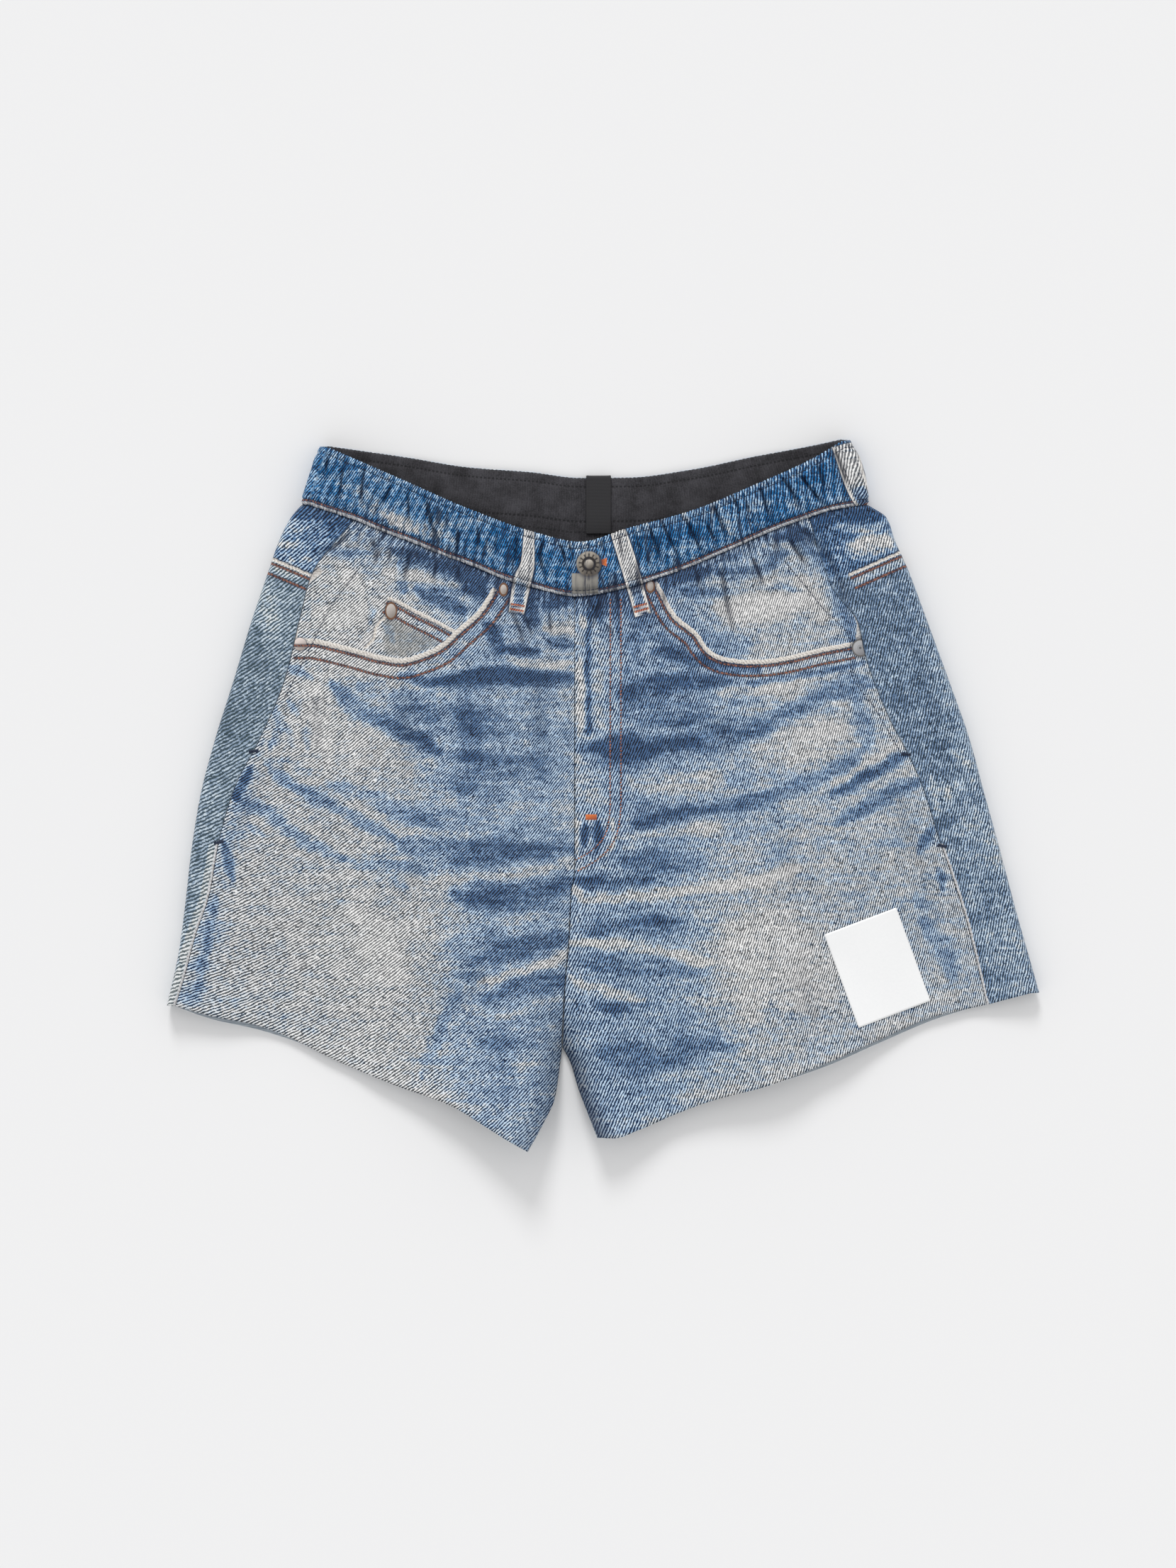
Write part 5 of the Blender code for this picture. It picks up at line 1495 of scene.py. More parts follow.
def leg_marks(points, side, look):
    """The marks of a leg's front and of its back."""
    x, y = points[..., 0], points[..., 1]
    depth = np.maximum(seam_y(x, False) - y, 0)
    ribs = ribs_at(unrolled(points, side), y, look["twill"])
    ribs[:, FRONT_COLUMNS + 1:, 0] *= BACK_RIB_RATE
    wave = leg_wave()
    # The crease mark is painted shade: in the troughs of the creases and fine pleats, a painted shadow line
    # close under the waist seam, and below the crotch along the inner edge, where the cloth rolls under.
    shade = np.minimum(creased(x, y, look["creases"], True) + pleat_shade(depth, wave), 1)
    roll = bell(np.abs(x - points[:, :1, 0]), INNER_SHADE_WIDTH) * step_up(*INNER_SHADE_ROWS, ROWS[:, None])
    shade = np.minimum(shade + look["inner_shade"] * roll, 1)

    front_x, front_y, front_depth = x[:, FRONT], y[:, FRONT], depth[:, FRONT]
    pleats = pinched(uneven(wave, FINE_PLEATS * wave, *FINE_PLACE_WAVES))[:, FRONT]
    # Besides the print's fades, painted light and shade on the fine pleats under the seam: paler ridges,
    # darker troughs.
    fade = (look["fade"] + strokes(front_x, front_y, look["fades"])
            - SEAM_DARK * bell(front_depth - SEAM_DARK_AT, SEAM_DARK_WIDTH) + HEM_PALE
            + PLEAT_LIGHT_AND_SHADE * (pleats - PINCHED_MEAN) * bell(front_depth, PLEAT_LIGHT_AND_SHADE_REACH))
    front = {"ribs": ribs[:, FRONT], "fade": fade, "crease": shade[:, FRONT], "depth": front_depth}
    for label, line in look["lines"].items():
        maker = loop_mark if label == "loop" else line_mark
        front[label] = maker(front_x, front_y, line)

    back_x, back_y = x[:, BACK], y[:, BACK]
    yoke = [line_mark(back_x[:, part], back_y[:, part], line)
            for part, line in zip((SHOWN, HIDDEN), look["yokes"])]
    patched = line_mark(back_x, back_y, look["patch"])
    patched[:, SHOWN, 2] = OFF_THE_LINE
    seam = points[:, FRONT_COLUMNS:FRONT_COLUMNS + 1]
    from_seam = np.hypot(back_x - seam[..., 0], back_y - seam[..., 1])
    strip = vector_mark(from_seam, -back_y, STRIP_FROM_Y - back_y)
    strip[:, HIDDEN, 2] = OFF_THE_LINE
    pale = (STRIP_PALE * step_up(STRIP_FROM_Y + 1, STRIP_FROM_Y - 1, back_y)
            * step_up(look["strip_width"] + STRIP_BLUR, look["strip_width"], from_seam))
    fade = (look["back_fade"] + strokes(back_x, back_y, look["back_fades"]) + HEM_PALE
            - BACK_SEAM_DARK * bell(depth[:, BACK] - BACK_SEAM_DARK_AT, SEAM_DARK_WIDTH))
    fade[:, SHOWN] += pale[:, SHOWN]
    return front, {"ribs": ribs[:, BACK], "fade": fade, "crease": shade[:, BACK],
                   "yoke": np.concatenate(yoke, axis=1), "patch": patched, "strip": strip}


right_marks = leg_marks(right_points, RIGHT_LEG["side"], RIGHT_PRINT)
left_marks = leg_marks(left_points, LEFT_LEG["side"], LEFT_PRINT)
print("marks of a front:", list(right_marks[0]), " of a back:", list(right_marks[1]))

# %% [markdown]
# ## The four panels
#
# Each leg's surface is cut at its side seam into a front and a back, as the pattern pieces are. A
# half of the seam's gap comes off each side, so the seam shows as the fine line it is.

# %% Front and back panels
def panel(name, outer, inner, side, seam_last, printed, marks):
    """A panel: half a seam's gap off the side seam's edge, half the legs' gap off the centre's."""
    outer, inner = outer.copy(), inner.copy()
    seam, beside_seam, centre = (-1, -2, 0) if seam_last else (0, 1, -1)
    for face in (outer, inner):
        face[:, seam] += unit(face[:, beside_seam] - face[:, seam]) * SEAM / 2
        face[:, centre, 0] += side * LAY / 2
    cloth(name, outer, inner, (printed, reverse_side, cut_edge), marks)


panel("front_right_cloth", right_outer[:, FRONT], right_inner[:, FRONT], -1, True,
      printed_right, right_marks[0])
panel("back_right_cloth", right_outer[:, BACK], right_inner[:, BACK], -1, False,
      printed_back_right, right_marks[1])
panel("front_left_cloth", left_outer[:, FRONT], left_inner[:, FRONT], 1, True,
      printed_left, left_marks[0])
panel("back_left_cloth", left_outer[:, BACK], left_inner[:, BACK], 1, False,
      printed_back_left, left_marks[1])
print("panels:", {name: len(piece.data.polygons) * 2 for name, piece in pieces.items()})

# %% [markdown]
# ## Pocket bags
#
# Two light bags hang inside the fronts from the side seams. They are seen only through the leg
# openings, so a coarser grid is enough; it is taken from the same surface, further in.

# %% Pocket bags
BAG_ROWS = (0.095, 0.65)
BAG_COLUMNS = (0.55, 0.975)
BAG_STEP = 3
BAG_GAP = 1.1
BAG_RIPPLE = 0.15


def pocket_bag(name, points, normals):
    """A flat bag of two layers drawn as one wall, moved in from the front's middle surface."""
    rows = np.flatnonzero((ROWS > BAG_ROWS[0]) & (ROWS < BAG_ROWS[1]))[::BAG_STEP]
    start, end = (round(share * FRONT_COLUMNS) for share in BAG_COLUMNS)
    taken = np.ix_(rows, np.arange(start, end, BAG_STEP))
    up = normals[taken]
    middle = points[taken] - up * (PANEL / 2 + BAG_GAP + POCKET / 2)
    middle = middle + up * BAG_RIPPLE * lazy(2 * middle[..., 0], 2 * middle[..., 1])[..., None]
    cloth(name, middle + up * POCKET / 2, middle - up * POCKET / 2, (pocket_mesh,) * 3)


pocket_bag("pocket_bag_right_cloth", right_points, right_normals)
pocket_bag("pocket_bag_left_cloth", left_points, left_normals)

# %% [markdown]
# ## The waistband
#
# The band is a ring of shell cloth drawn in by the elastic inside it. Between two creases the cloth
# has nowhere to go but up, so every stretch becomes a small puff. The height of a puff therefore
# grows with the distance to the nearest crease, and the creases do the shaping.

# %% Rings round the waist
BAND_FRONT_COLUMNS = 880
BAND_BACK_COLUMNS = 220
BAND_FOLD_COLUMNS = 15
BAND_ROWS = 38


def waist_ring(levels, front_columns, back_columns, inset, floor):
    """Rings of points round the waist: over the front, round a half ellipse at the side, back under
    and round the other side."""
    front = np.linspace(0, 1, front_columns + 1)
    back = np.linspace(1, 0, back_columns + 1)
    turn = np.linspace(0, np.pi, BAND_FOLD_COLUMNS)[1:-1]
    depth = FOLD_DEPTH - inset
    rings = []
    for level in levels:
        start, end = band_sides(level)
        left = start + FOLD_DEPTH + BAND / 2
        right = end - FOLD_DEPTH - BAND / 2
        high = WAIST_LOFT + level * (TOP_LOFT - WAIST_LOFT) - inset
        middle = (high + floor) / 2
        radius = (high - floor) / 2
        front_x = left + front * (right - left)
        back_x = left + back * (right - left)
        front_y = waist_y(level, (front_x - start) / (end - start), False)
        back_y = waist_y(level, (back_x - start) / (end - start), True)
        bend = turn / np.pi
        right_side = np.stack([right + depth * np.sin(turn), front_y[-1] + bend * (back_y[0] - front_y[-1]),
                               middle + radius * np.cos(turn)], axis=1)
        left_side = np.stack([left - depth * np.sin(turn), back_y[-1] + bend * (front_y[0] - back_y[-1]),
                              middle - radius * np.cos(turn)], axis=1)
        rings.append(np.concatenate([np.stack([front_x, front_y, np.full_like(front_x, high)], axis=1),
                                     right_side,
                                     np.stack([back_x, back_y, np.full_like(back_x, floor)], axis=1),
                                     left_side]))
    return np.array(rings)


def ring_normals(points):
    """Outward normals of a ring: across its own line, square to +Y."""
    along = np.roll(points, -1, axis=1) - np.roll(points, 1, axis=1)
    return unit(np.cross(along, (0, 1, 0)))


# %% Creases of the waistband
# Each row: depth, half width, then the points the crease runs through.
BAND_CREASES = (
    (1.4, 0.8, (-166.4, 203), (-168.1, 190)), (1.6, 0.9, (-144.5, 194), (-146.2, 178.9), (-141.9, 168)),
    (1.4, 0.8, (-128.1, 186), (-135, 171)), (1.7, 0.9, (-106.6, 177), (-104.1, 164.3), (-97.6, 147)),
    (1.4, 0.8, (-87.7, 159), (-88.6, 139)), (1.4, 0.8, (-51.6, 154), (-54.2, 135)),
    (1.6, 0.9, (-36.6, 152), (-37.8, 144.5), (-36.6, 135), (-33.5, 127)),
    (1.5, 0.8, (-26.2, 150.5), (-23.2, 141.9), (-21.9, 131)), (1.2, 0.7, (-20.6, 153), (-19.4, 143)),
    (1, 0.8, (-0.9, 154), (-0.9, 146)), (1.6, 0.9, (28.4, 159.5), (36.6, 136)),
    (1.5, 0.8, (35.3, 164), (48.6, 136)), (1.6, 0.9, (49.9, 165.5), (62.4, 140)),
    (1.3, 0.8, (62.4, 163), (68.8, 149)), (1.6, 0.9, (66.2, 175), (77, 150)),
    (1.4, 0.8, (77, 182), (83.9, 167)), (1.6, 0.9, (94.6, 184.5), (103.6, 158)),
    (1.6, 0.9, (107.9, 191), (114.4, 181.5), (121.3, 168)), (1.7, 0.9, (118.7, 192.5), (138.9, 167)),
    (1.4, 0.8, (129.4, 199), (134.6, 181)), (1.6, 0.9, (140.2, 207), (149.6, 180)),
    (1, 0.7, (-157, 196), (-160, 176)), (1, 0.7, (-118, 180), (-117, 160)),
    (0.9, 0.7, (-94, 170), (-96, 158)), (1, 0.7, (-76, 162), (-75, 145)), (0.9, 0.7, (-64, 158), (-66, 144)),
    (0.9, 0.7, (10, 155), (12, 138)), (0.9, 0.7, (20, 157), (23, 142)), (0.9, 0.7, (86, 177), (90, 165)))
BAND_PUFF = 2.0
PUFF_WIDTH = 3.4
BAND_RIPPLE = 0.35
RIPPLES = 62
TOP_PLEAT = 0.55
TOP_PLEAT_PITCH = 2.4
TOP_PLEAT_REACH = 5.0
TOP_SCALLOP = 0.7
LOW_PLEAT = 0.4
LOW_PLEAT_PITCH = 3.1
LOW_PLEAT_REACH = 6.0
# The stitches hold the puffs down: by how much, and how wide.
HELD, HELD_WIDTH = 0.55, 1.2
STITCH_FROM_TOP = 4.0
STITCH_FROM_SEAM = 3.7
STITCH_DIP = 0.45
BAND_EDGE_WIDTH = 1.1
TOP_EDGE_ROLL, LOW_EDGE_ROLL = 1.2, 0.9
PUFF_REACH = 12.0
BEHIND = 900.0  # the back half's places are moved this far away, so no loop is printed on it


def puffs(x, y, creases):
    """Height that grows with the distance to the nearest crease: puff times one less a bell."""
    nearest = np.full(x.shape, PUFF_REACH)
    for _, _, *points in creases:
        spots = np.array(points)
        near = (x > spots[:, 0].min() - PUFF_REACH) & (x < spots[:, 0].max() + PUFF_REACH)
        away, _, inside = guide(x[near], y[near], points)
        nearest[near] = np.minimum(nearest[near], np.hypot(away, 0.6 * np.minimum(inside, 0)))
    return BAND_PUFF * (1 - bell(nearest, PUFF_WIDTH))


levels = np.linspace(0, 1, BAND_ROWS)
band_points = waist_ring(levels, BAND_FRONT_COLUMNS, BAND_BACK_COLUMNS, 0, BAND / 2)
band_normals = ring_normals(band_points)
band_x, band_y = band_points[..., 0], band_points[..., 1]
is_top = step_up(0.35, 0.9, (band_points[..., 2] - BAND / 2) / (WAIST_LOFT - BAND / 2))
height_of_band = np.linalg.norm(band_points[-1] - band_points[0], axis=-1)
from_seam = levels[:, None] * height_of_band
from_top = (1 - levels[:, None]) * height_of_band
along_band = lengths_along(band_points[0])[None]
print("band height, mm:", round(height_of_band.min(), 1), "to", round(height_of_band.max(), 1))

ring_share = np.arange(band_points.shape[1])[None] / BAND_FRONT_COLUMNS
ripple_phase = uneven(ring_share, RIPPLES * ring_share, (1.1, 7.3, 0.2), (0.7, 21.0, 1.4))
held_flat = (1 - HELD * bell(from_top - STITCH_FROM_TOP, HELD_WIDTH)
             - HELD * bell(from_seam - STITCH_FROM_SEAM, HELD_WIDTH))
ends_calm = step_up(0, 3.0, from_seam) * (1 - 0.7 * step_up(0.72, 1.0, levels[:, None]))
top_pleats = pinched(along_band / TOP_PLEAT_PITCH + 0.14 * np.sin(along_band / 11))
low_pleats = pinched(along_band / LOW_PLEAT_PITCH + 0.5 * np.sin(along_band / 17) + from_seam / 29)
ripples = pinched(ripple_phase + 0.4 * np.sin(from_seam / 7))
band_creases = creased(band_x, band_y, BAND_CREASES) * (1 - bell(from_seam, 2.0))
stitch_dips = bell(from_top - STITCH_FROM_TOP, 0.7) + bell(from_seam - STITCH_FROM_SEAM, 0.7)
band_relief = (puffs(band_x, band_y, BAND_CREASES) * ends_calm * held_flat + band_creases
               + BAND_RIPPLE * (ripples - PINCHED_MEAN)
               + TOP_PLEAT * (top_pleats - PINCHED_MEAN) * bell(from_top, TOP_PLEAT_REACH)
               + LOW_PLEAT * (low_pleats - PINCHED_MEAN) * bell(from_seam - 2, LOW_PLEAT_REACH)
               - STITCH_DIP * stitch_dips)
under_relief = -(0.3 + 0.3 * np.sin(TURN * ripple_phase / 4 + 0.8 * np.sin(from_seam / 9)))
off_edges = step_up(0, 4, from_seam) * step_up(0, 4, from_top)
band_relief = band_relief * is_top + under_relief * (1 - is_top) * off_edges
edge_roll = (TOP_EDGE_ROLL * bell(from_top, BAND_EDGE_WIDTH) * is_top
             + LOW_EDGE_ROLL * bell(from_seam, BAND_EDGE_WIDTH))
band_outer = band_points + band_normals * (BAND / 2 + band_relief - edge_roll)[..., None]
band_outer[-1, :, 1] += TOP_SCALLOP * (top_pleats[0] - PINCHED_MEAN)
band_outer[0, :, 1] += SEAM / 3
band_outer[..., 2] = np.maximum(band_outer[..., 2], 0)
band_inner = band_outer - band_normals * SHELL_CLOTH
band_is_front = np.broadcast_to(is_top > 0.5, band_x.shape)
loop_x = np.where(band_is_front, band_x, band_x + BEHIND)
# The print's fades, with painted light and shade on the band's top pleats and ripples: paler crests, darker
# troughs.
band_fade_and_pleat_light = (BAND_FADE + strokes(band_x, band_y, BAND_FADES) * band_is_front
             + 0.34 * (top_pleats - 0.45) * bell(from_top, 4.5) + 0.3 * (ripples - PINCHED_MEAN))
# Painted shade in the troughs of the band's creases, pleats and ripples.
band_shade = (creased(band_x, band_y, BAND_CREASES, True)
              + 0.8 * (1 - top_pleats) ** 1.5 * bell(from_top, 5.5)
              + 0.6 * (1 - low_pleats) ** 1.5 * bell(from_seam - 2, 6.0) + 0.6 * (1 - ripples) ** 2)
band_marks = {"ribs": ribs_at(along_band + band_x[:1, :1] + 0 * band_y, band_y, BAND_TWILL),
              "fade": band_fade_and_pleat_light, "crease": np.clip(band_shade, 0, 1) * is_top,
              "hem_line": vector_mark(from_seam + 0.25 * np.sin(along_band / 6.1), along_band, 9.0)}
for label, loop in (("loop_right", LOOP_RIGHT), ("loop_left", LOOP_LEFT), ("loop_side", LOOP_SIDE)):
    band_marks[label] = loop_mark(loop_x, band_y, loop)
cloth("waistband_cloth", band_outer, band_inner, (printed_band, reverse_side, printed_band), band_marks,
      ring=True)

# %% [markdown]
# ## The elastic inside the waist
#
# The inner face of the waist is a brushed elastic. It is ribbed up and down, a seam line runs
# along it, and its top edge is finely scalloped where the needle draws it in.

# %% Elastic lining
LINING_BELOW_SEAM = 0.18
LINING_FRONT_COLUMNS = 260
LINING_BACK_COLUMNS = 560
LINING_ROWS = 34
RIB_PITCH = 2.9
RIB_HEIGHT = 0.16
LINING_SEAM_FROM_TOP = 26.0
LINING_STITCH_FROM_TOP = 5.0
SCALLOP = 0.45
SCALLOP_PITCH = 2.4
RUFFLE = 0.2
LINING_SEAM_DEPTH = 0.35
LINING_SHOWN = LINING - 0.3

inset = BAND / 2 + LAY + LINING / 2
lining_levels = np.linspace(-LINING_BELOW_SEAM, 0.985, LINING_ROWS)
lining_points = waist_ring(lining_levels, LINING_FRONT_COLUMNS, LINING_BACK_COLUMNS, inset,
                           BAND + LAY + LINING / 2)
lining_normals = ring_normals(lining_points)
along_lining = lengths_along(lining_points[-1])[None]
lining_height = np.linalg.norm(lining_points[-1] - lining_points[0], axis=-1)
share_down = (lining_levels[-1] - lining_levels[:, None]) / (lining_levels[-1] - lining_levels[0])
lining_from_top = share_down * lining_height
ruffles = np.sin(along_lining / 6.3 + 0.5 * np.sin(lining_from_top / 6))
ribs = (RIB_HEIGHT * np.sin(TURN * along_lining / RIB_PITCH + 0.7 * np.sin(along_lining / 13))
        + RUFFLE * ruffles * bell(lining_from_top - 14, 12))
seams = (bell(lining_from_top - LINING_SEAM_FROM_TOP, 0.8)
         + bell(lining_from_top - LINING_STITCH_FROM_TOP, 0.7))
lining_inner = lining_points - lining_normals * (LINING / 2 + ribs - LINING_SEAM_DEPTH * seams)[..., None]
lining_outer = lining_inner + lining_normals * LINING_SHOWN
scallop = SCALLOP * np.abs(np.sin(np.pi * along_lining[0] / SCALLOP_PITCH))
lining_inner[-1, :, 1] += scallop
lining_outer[-1, :, 1] += scallop
cloth("waistband_lining_cloth", lining_outer, lining_inner, (brushed_elastic,) * 3,
      {"ribs": vector_mark(np.broadcast_to(along_lining, lining_from_top.shape), lining_from_top)}, ring=True)

# %% [markdown]
# ## The tab and the label
#
# The tab is a short woven ribbon turned over the back of the waist. The label is a plain coated
# rectangle stuck on the left thigh. Both are left bare. The label is stiffer than the cloth, so it
# follows only the large shape under it: the heights of the cloth beneath are smoothed first.

# %% Woven tab
TAB_WIDTH = 15.0
TAB_CENTRE = -2.8
TAB_REACH = 34.0
TAB_CLEAR = SEAM + LABEL / 2 + 0.1
TAB_HANGS_TO = 0.9
TAB_COLUMNS = 48
TAB_ROWS = 90
ON_LINING = BAND + LAY + LINING + LAY + LABEL / 2
TAB_SELVEDGE = 0.12
TAB_WAVE, TAB_WAVE_LENGTH = 0.1, 4.1

# The ribbon's path: distance past the top edge, drop below its level on the lining.
profile = np.array(((-TAB_REACH, 0.0), (-TAB_REACH / 2, 0.0), (TAB_CLEAR - 2.1, 0.0),
                    (TAB_CLEAR - 0.55, 0.15), (TAB_CLEAR - 0.12, 0.6), (TAB_CLEAR, 1.3),
                    (TAB_CLEAR, ON_LINING - TAB_HANGS_TO)))
profile_reach = lengths_along(profile)
profile_at = np.linspace(0, profile_reach[-1], TAB_ROWS)
past = smooth(profile_reach, profile[:, 0], profile_at)
drop = smooth(profile_reach, profile[:, 1], profile_at)
tab_x = TAB_CENTRE + np.linspace(-0.5, 0.5, TAB_COLUMNS) * TAB_WIDTH
waist_start, waist_end = band_sides(1)
tab_edge = waist_y(1, (tab_x - waist_start) / (waist_end - waist_start), True)
tab_points = np.stack([np.broadcast_to(tab_x, (TAB_ROWS, TAB_COLUMNS)), tab_edge[None] + past[:, None],
                       np.broadcast_to(ON_LINING - drop[:, None], (TAB_ROWS, TAB_COLUMNS))], axis=2)
tab_normals = unit(np.cross(np.gradient(tab_points, axis=1), np.gradient(tab_points, axis=0)))
if tab_normals[0, 0, 2] < 0:
    tab_normals = -tab_normals
selvedge = TAB_SELVEDGE * bell(np.abs(tab_x - TAB_CENTRE) - TAB_WIDTH / 2 + 0.9, 0.5)[None, :, None]
tab_wave = TAB_WAVE * np.sin(profile_at / TAB_WAVE_LENGTH)[:, None, None]
tab_outer = tab_points + tab_normals * (LABEL / 2 - 0.1 + selvedge + tab_wave * (drop[:, None, None] < 0.1))
cloth("inner_tab_cloth", tab_outer, tab_points - tab_normals * (LABEL / 2 - 0.05), (woven_tab,) * 3,
      {"weave": vector_mark(np.broadcast_to(tab_x, (TAB_ROWS, TAB_COLUMNS)),
                            np.broadcast_to(profile_at[:, None], (TAB_ROWS, TAB_COLUMNS)))})


# %% Places on the cloth
AT_ONCE = 128  # places looked up together, which keeps the table of distances small


def on_cloth(x, y, faces, normals):
    """Height and normal of the cloth at each plan place: from the nearest grid point, moved along
    the plane through it."""
    grid = faces.reshape(-1, 3)
    grid_normals = normals.reshape(-1, 3)
    heights = np.empty(x.size)
    leans = np.empty((x.size, 3))
    flat_x, flat_y = x.ravel(), y.ravel()
    for start in range(0, x.size, AT_ONCE):
        part = slice(start, start + AT_ONCE)
        far = (grid[:, 0] - flat_x[part, None]) ** 2 + (grid[:, 1] - flat_y[part, None]) ** 2
        nearest = far.argmin(axis=1)
        lean = grid_normals[nearest]
        offset = ((flat_x[part] - grid[nearest, 0]) * lean[:, 0]
                  + (flat_y[part] - grid[nearest, 1]) * lean[:, 1])
        heights[part] = grid[nearest, 2] - offset / lean[:, 2]
        leans[part] = lean
    return heights.reshape(x.shape), leans.reshape(x.shape + (3,))


def face_normals(outer, inner):
    """The outer face's own normals, creases and all, pointing away from the inner face."""
    found = unit(np.cross(np.gradient(outer, axis=1), np.gradient(outer, axis=0)))
    return found * np.sign(np.sum(found * (outer - inner), axis=-1, keepdims=True))


# %% Bare label
LABEL_SIZE = (46.7, 60.4)
LABEL_CENTRE = (165.8, -105.1)
LABEL_TURN = 20.4
LABEL_COLUMNS = 36
LABEL_ROWS = 46
LABEL_STICKS = 0.12
LABEL_SMOOTHING = 40
FILM = 0.35


def softened(heights, times):
    """Heights evened out, as a stiff film evens them: each becomes the mean of its neighbours."""
    for _ in range(times):
        wide = np.pad(heights, 1, mode="reflect", reflect_type="odd")
        heights = (wide[:-2, 1:-1] + wide[2:, 1:-1] + wide[1:-1, :-2] + wide[1:-1, 2:]) / 4
    return heights


left_front = left_outer[:, FRONT]
left_leans = face_normals(left_front, left_inner[:, FRONT])
right_front = right_outer[:, FRONT]
right_leans = face_normals(right_front, right_inner[:, FRONT])
turn = np.radians(LABEL_TURN)
label_u, label_v = np.meshgrid(np.linspace(-0.5, 0.5, LABEL_COLUMNS) * LABEL_SIZE[0],
                               np.linspace(0.5, -0.5, LABEL_ROWS) * LABEL_SIZE[1])
label_x = LABEL_CENTRE[0] + label_u * np.cos(turn) - label_v * np.sin(turn)
label_y = LABEL_CENTRE[1] + label_u * np.sin(turn) + label_v * np.cos(turn)
under_label = on_cloth(label_x, label_y, left_front, left_leans)[0]
over_label = softened(under_label, LABEL_SMOOTHING)
over_label += (under_label - over_label).max() + LABEL_STICKS
print("label stands off the cloth by, mm:", round((over_label - under_label).min(), 2), "to",
      round((over_label - under_label).max(), 2))
label_outer = np.stack([label_x, label_y, over_label + FILM], axis=2)
label_inner = np.stack([label_x, label_y, over_label], axis=2)
cloth("leg_label_film", label_outer, label_inner, (coated_label,) * 3)

# %% [markdown]
# ## Real stitches
#
# Most stitches here are only printed. A few are real: a fine dark line under the band's top edge,
# one above its seam, one beside each pocket opening, and four small bartacks. Each stitch is a tiny
# capsule; one is shaped and then copied along the line as arrays.

# %% A run of stitches
STITCH_RINGS = 4
STITCH_SIDES = 6


def stitches(name, runs, lift, length, width):
    """Capsules, one at each centre of the runs and a little above it: a round cross-section whose
    size is the root of a half circle along the length."""
    centres, forwards, ups = (np.concatenate(parts) for parts in zip(*runs))
    centres = centres + ups * lift
    turn = np.linspace(0, TURN, STITCH_SIDES, endpoint=False)
    lean = np.linspace(0, np.pi, STITCH_RINGS + 2)[1:-1]
    ring_x = -np.cos(lean)[:, None] * np.ones(STITCH_SIDES) * length / 2
    ring_y = np.sin(lean)[:, None] ** 0.5 * np.cos(turn) * width / 2
    ring_z = np.sin(lean)[:, None] ** 0.5 * np.sin(turn) * width / 2
    shape = np.stack([ring_x, ring_y, ring_z], axis=2).reshape(-1, 3)
    shape = np.concatenate([[(-length / 2, 0, 0)], shape, [(length / 2, 0, 0)]])
    across = unit(np.cross(ups, forwards))
    ups = np.cross(forwards, across)
    points = centres[:, None] + sum(shape[None, :, i:i + 1] * way[:, None]
                                    for i, way in enumerate((forwards, across, ups)))
    ring = np.arange(STITCH_RINGS)[:, None] * STITCH_SIDES + 1
    here, after = np.arange(STITCH_SIDES), np.roll(np.arange(STITCH_SIDES), -1)
    sides = [(ring[i, 0] + here, ring[i + 1, 0] + here, ring[i + 1, 0] + after, ring[i, 0] + after)
             for i in range(STITCH_RINGS - 1)]
    quads = np.concatenate([np.stack(side, -1) for side in sides])
    tip = len(shape) - 1
    first = np.stack([np.zeros_like(here), 1 + here, 1 + after], -1)
    last = np.stack([np.full_like(here, tip), ring[-1, 0] + after, ring[-1, 0] + here], -1)
    caps = np.concatenate([first, last])
    shift = np.arange(len(centres))[:, None, None] * len(shape)
    faces = (quads + shift).reshape(-1, 4).tolist() + (caps + shift).reshape(-1, 3).tolist()
    mesh = bpy.data.meshes.new(name)
    mesh.from_pydata((points.reshape(-1, 3) * MM).tolist(), [], faces)
    mesh.update()
    corners = points[0][quads[0]]
    outward = np.cross(corners[1] - corners[0], corners[2] - corners[0]) @ (corners.mean(0) - centres[0])
    if outward < 0:
        mesh.flip_normals()
    mesh.shade_smooth()
    mesh.materials.append(blue_thread.material)
    new_piece(name, mesh)
    print(name, "stitches:", len(centres))


def spaced(path, leans, pitch):
    """Places every pitch along a path in space, with the direction and the normal there."""
    reach = lengths_along(path)
    at = np.arange(pitch / 2, reach[-1], pitch)

    def taken(table, places):
        return np.stack([np.interp(places, reach, values) for values in table.T], axis=1)

    ahead, behind = taken(path, at + pitch / 3), taken(path, at - pitch / 3)
    return taken(path, at), unit(ahead - behind), unit(taken(leans, at))


# %% Topstitching of the waistband
STITCH_PITCH = 2.6
STITCH_LENGTH = 2.0
STITCH_WIDTH = 0.5
BAND_STITCH_LIFT = 0.06


def at_height(grid, from_edge, wanted):
    """The ring's points at a wanted distance from its edge, between the two nearest rows."""
    row = np.array([np.interp(wanted, column_of, np.arange(len(grid))) for column_of in from_edge.T])
    low = np.clip(row.astype(int), 0, len(grid) - 2)
    share = (row - low)[:, None]
    columns = np.arange(grid.shape[1])
    return grid[low, columns] * (1 - share) + grid[low + 1, columns] * share


band_leans = face_normals(band_outer, band_inner)
in_view = slice(0, BAND_FRONT_COLUMNS + BAND_FOLD_COLUMNS // 2)
runs = []
for wanted, from_edge, rows in ((STITCH_FROM_SEAM, from_seam, slice(None)),
                                (STITCH_FROM_TOP, from_top, slice(None, None, -1))):
    line, lean = (at_height(grid[rows, in_view], from_edge[rows, in_view], wanted)
                  for grid in (band_outer, band_leans))
    runs.append(spaced(line, unit(lean), STITCH_PITCH))
stitches("band_topstitching", runs, BAND_STITCH_LIFT, STITCH_LENGTH, STITCH_WIDTH)

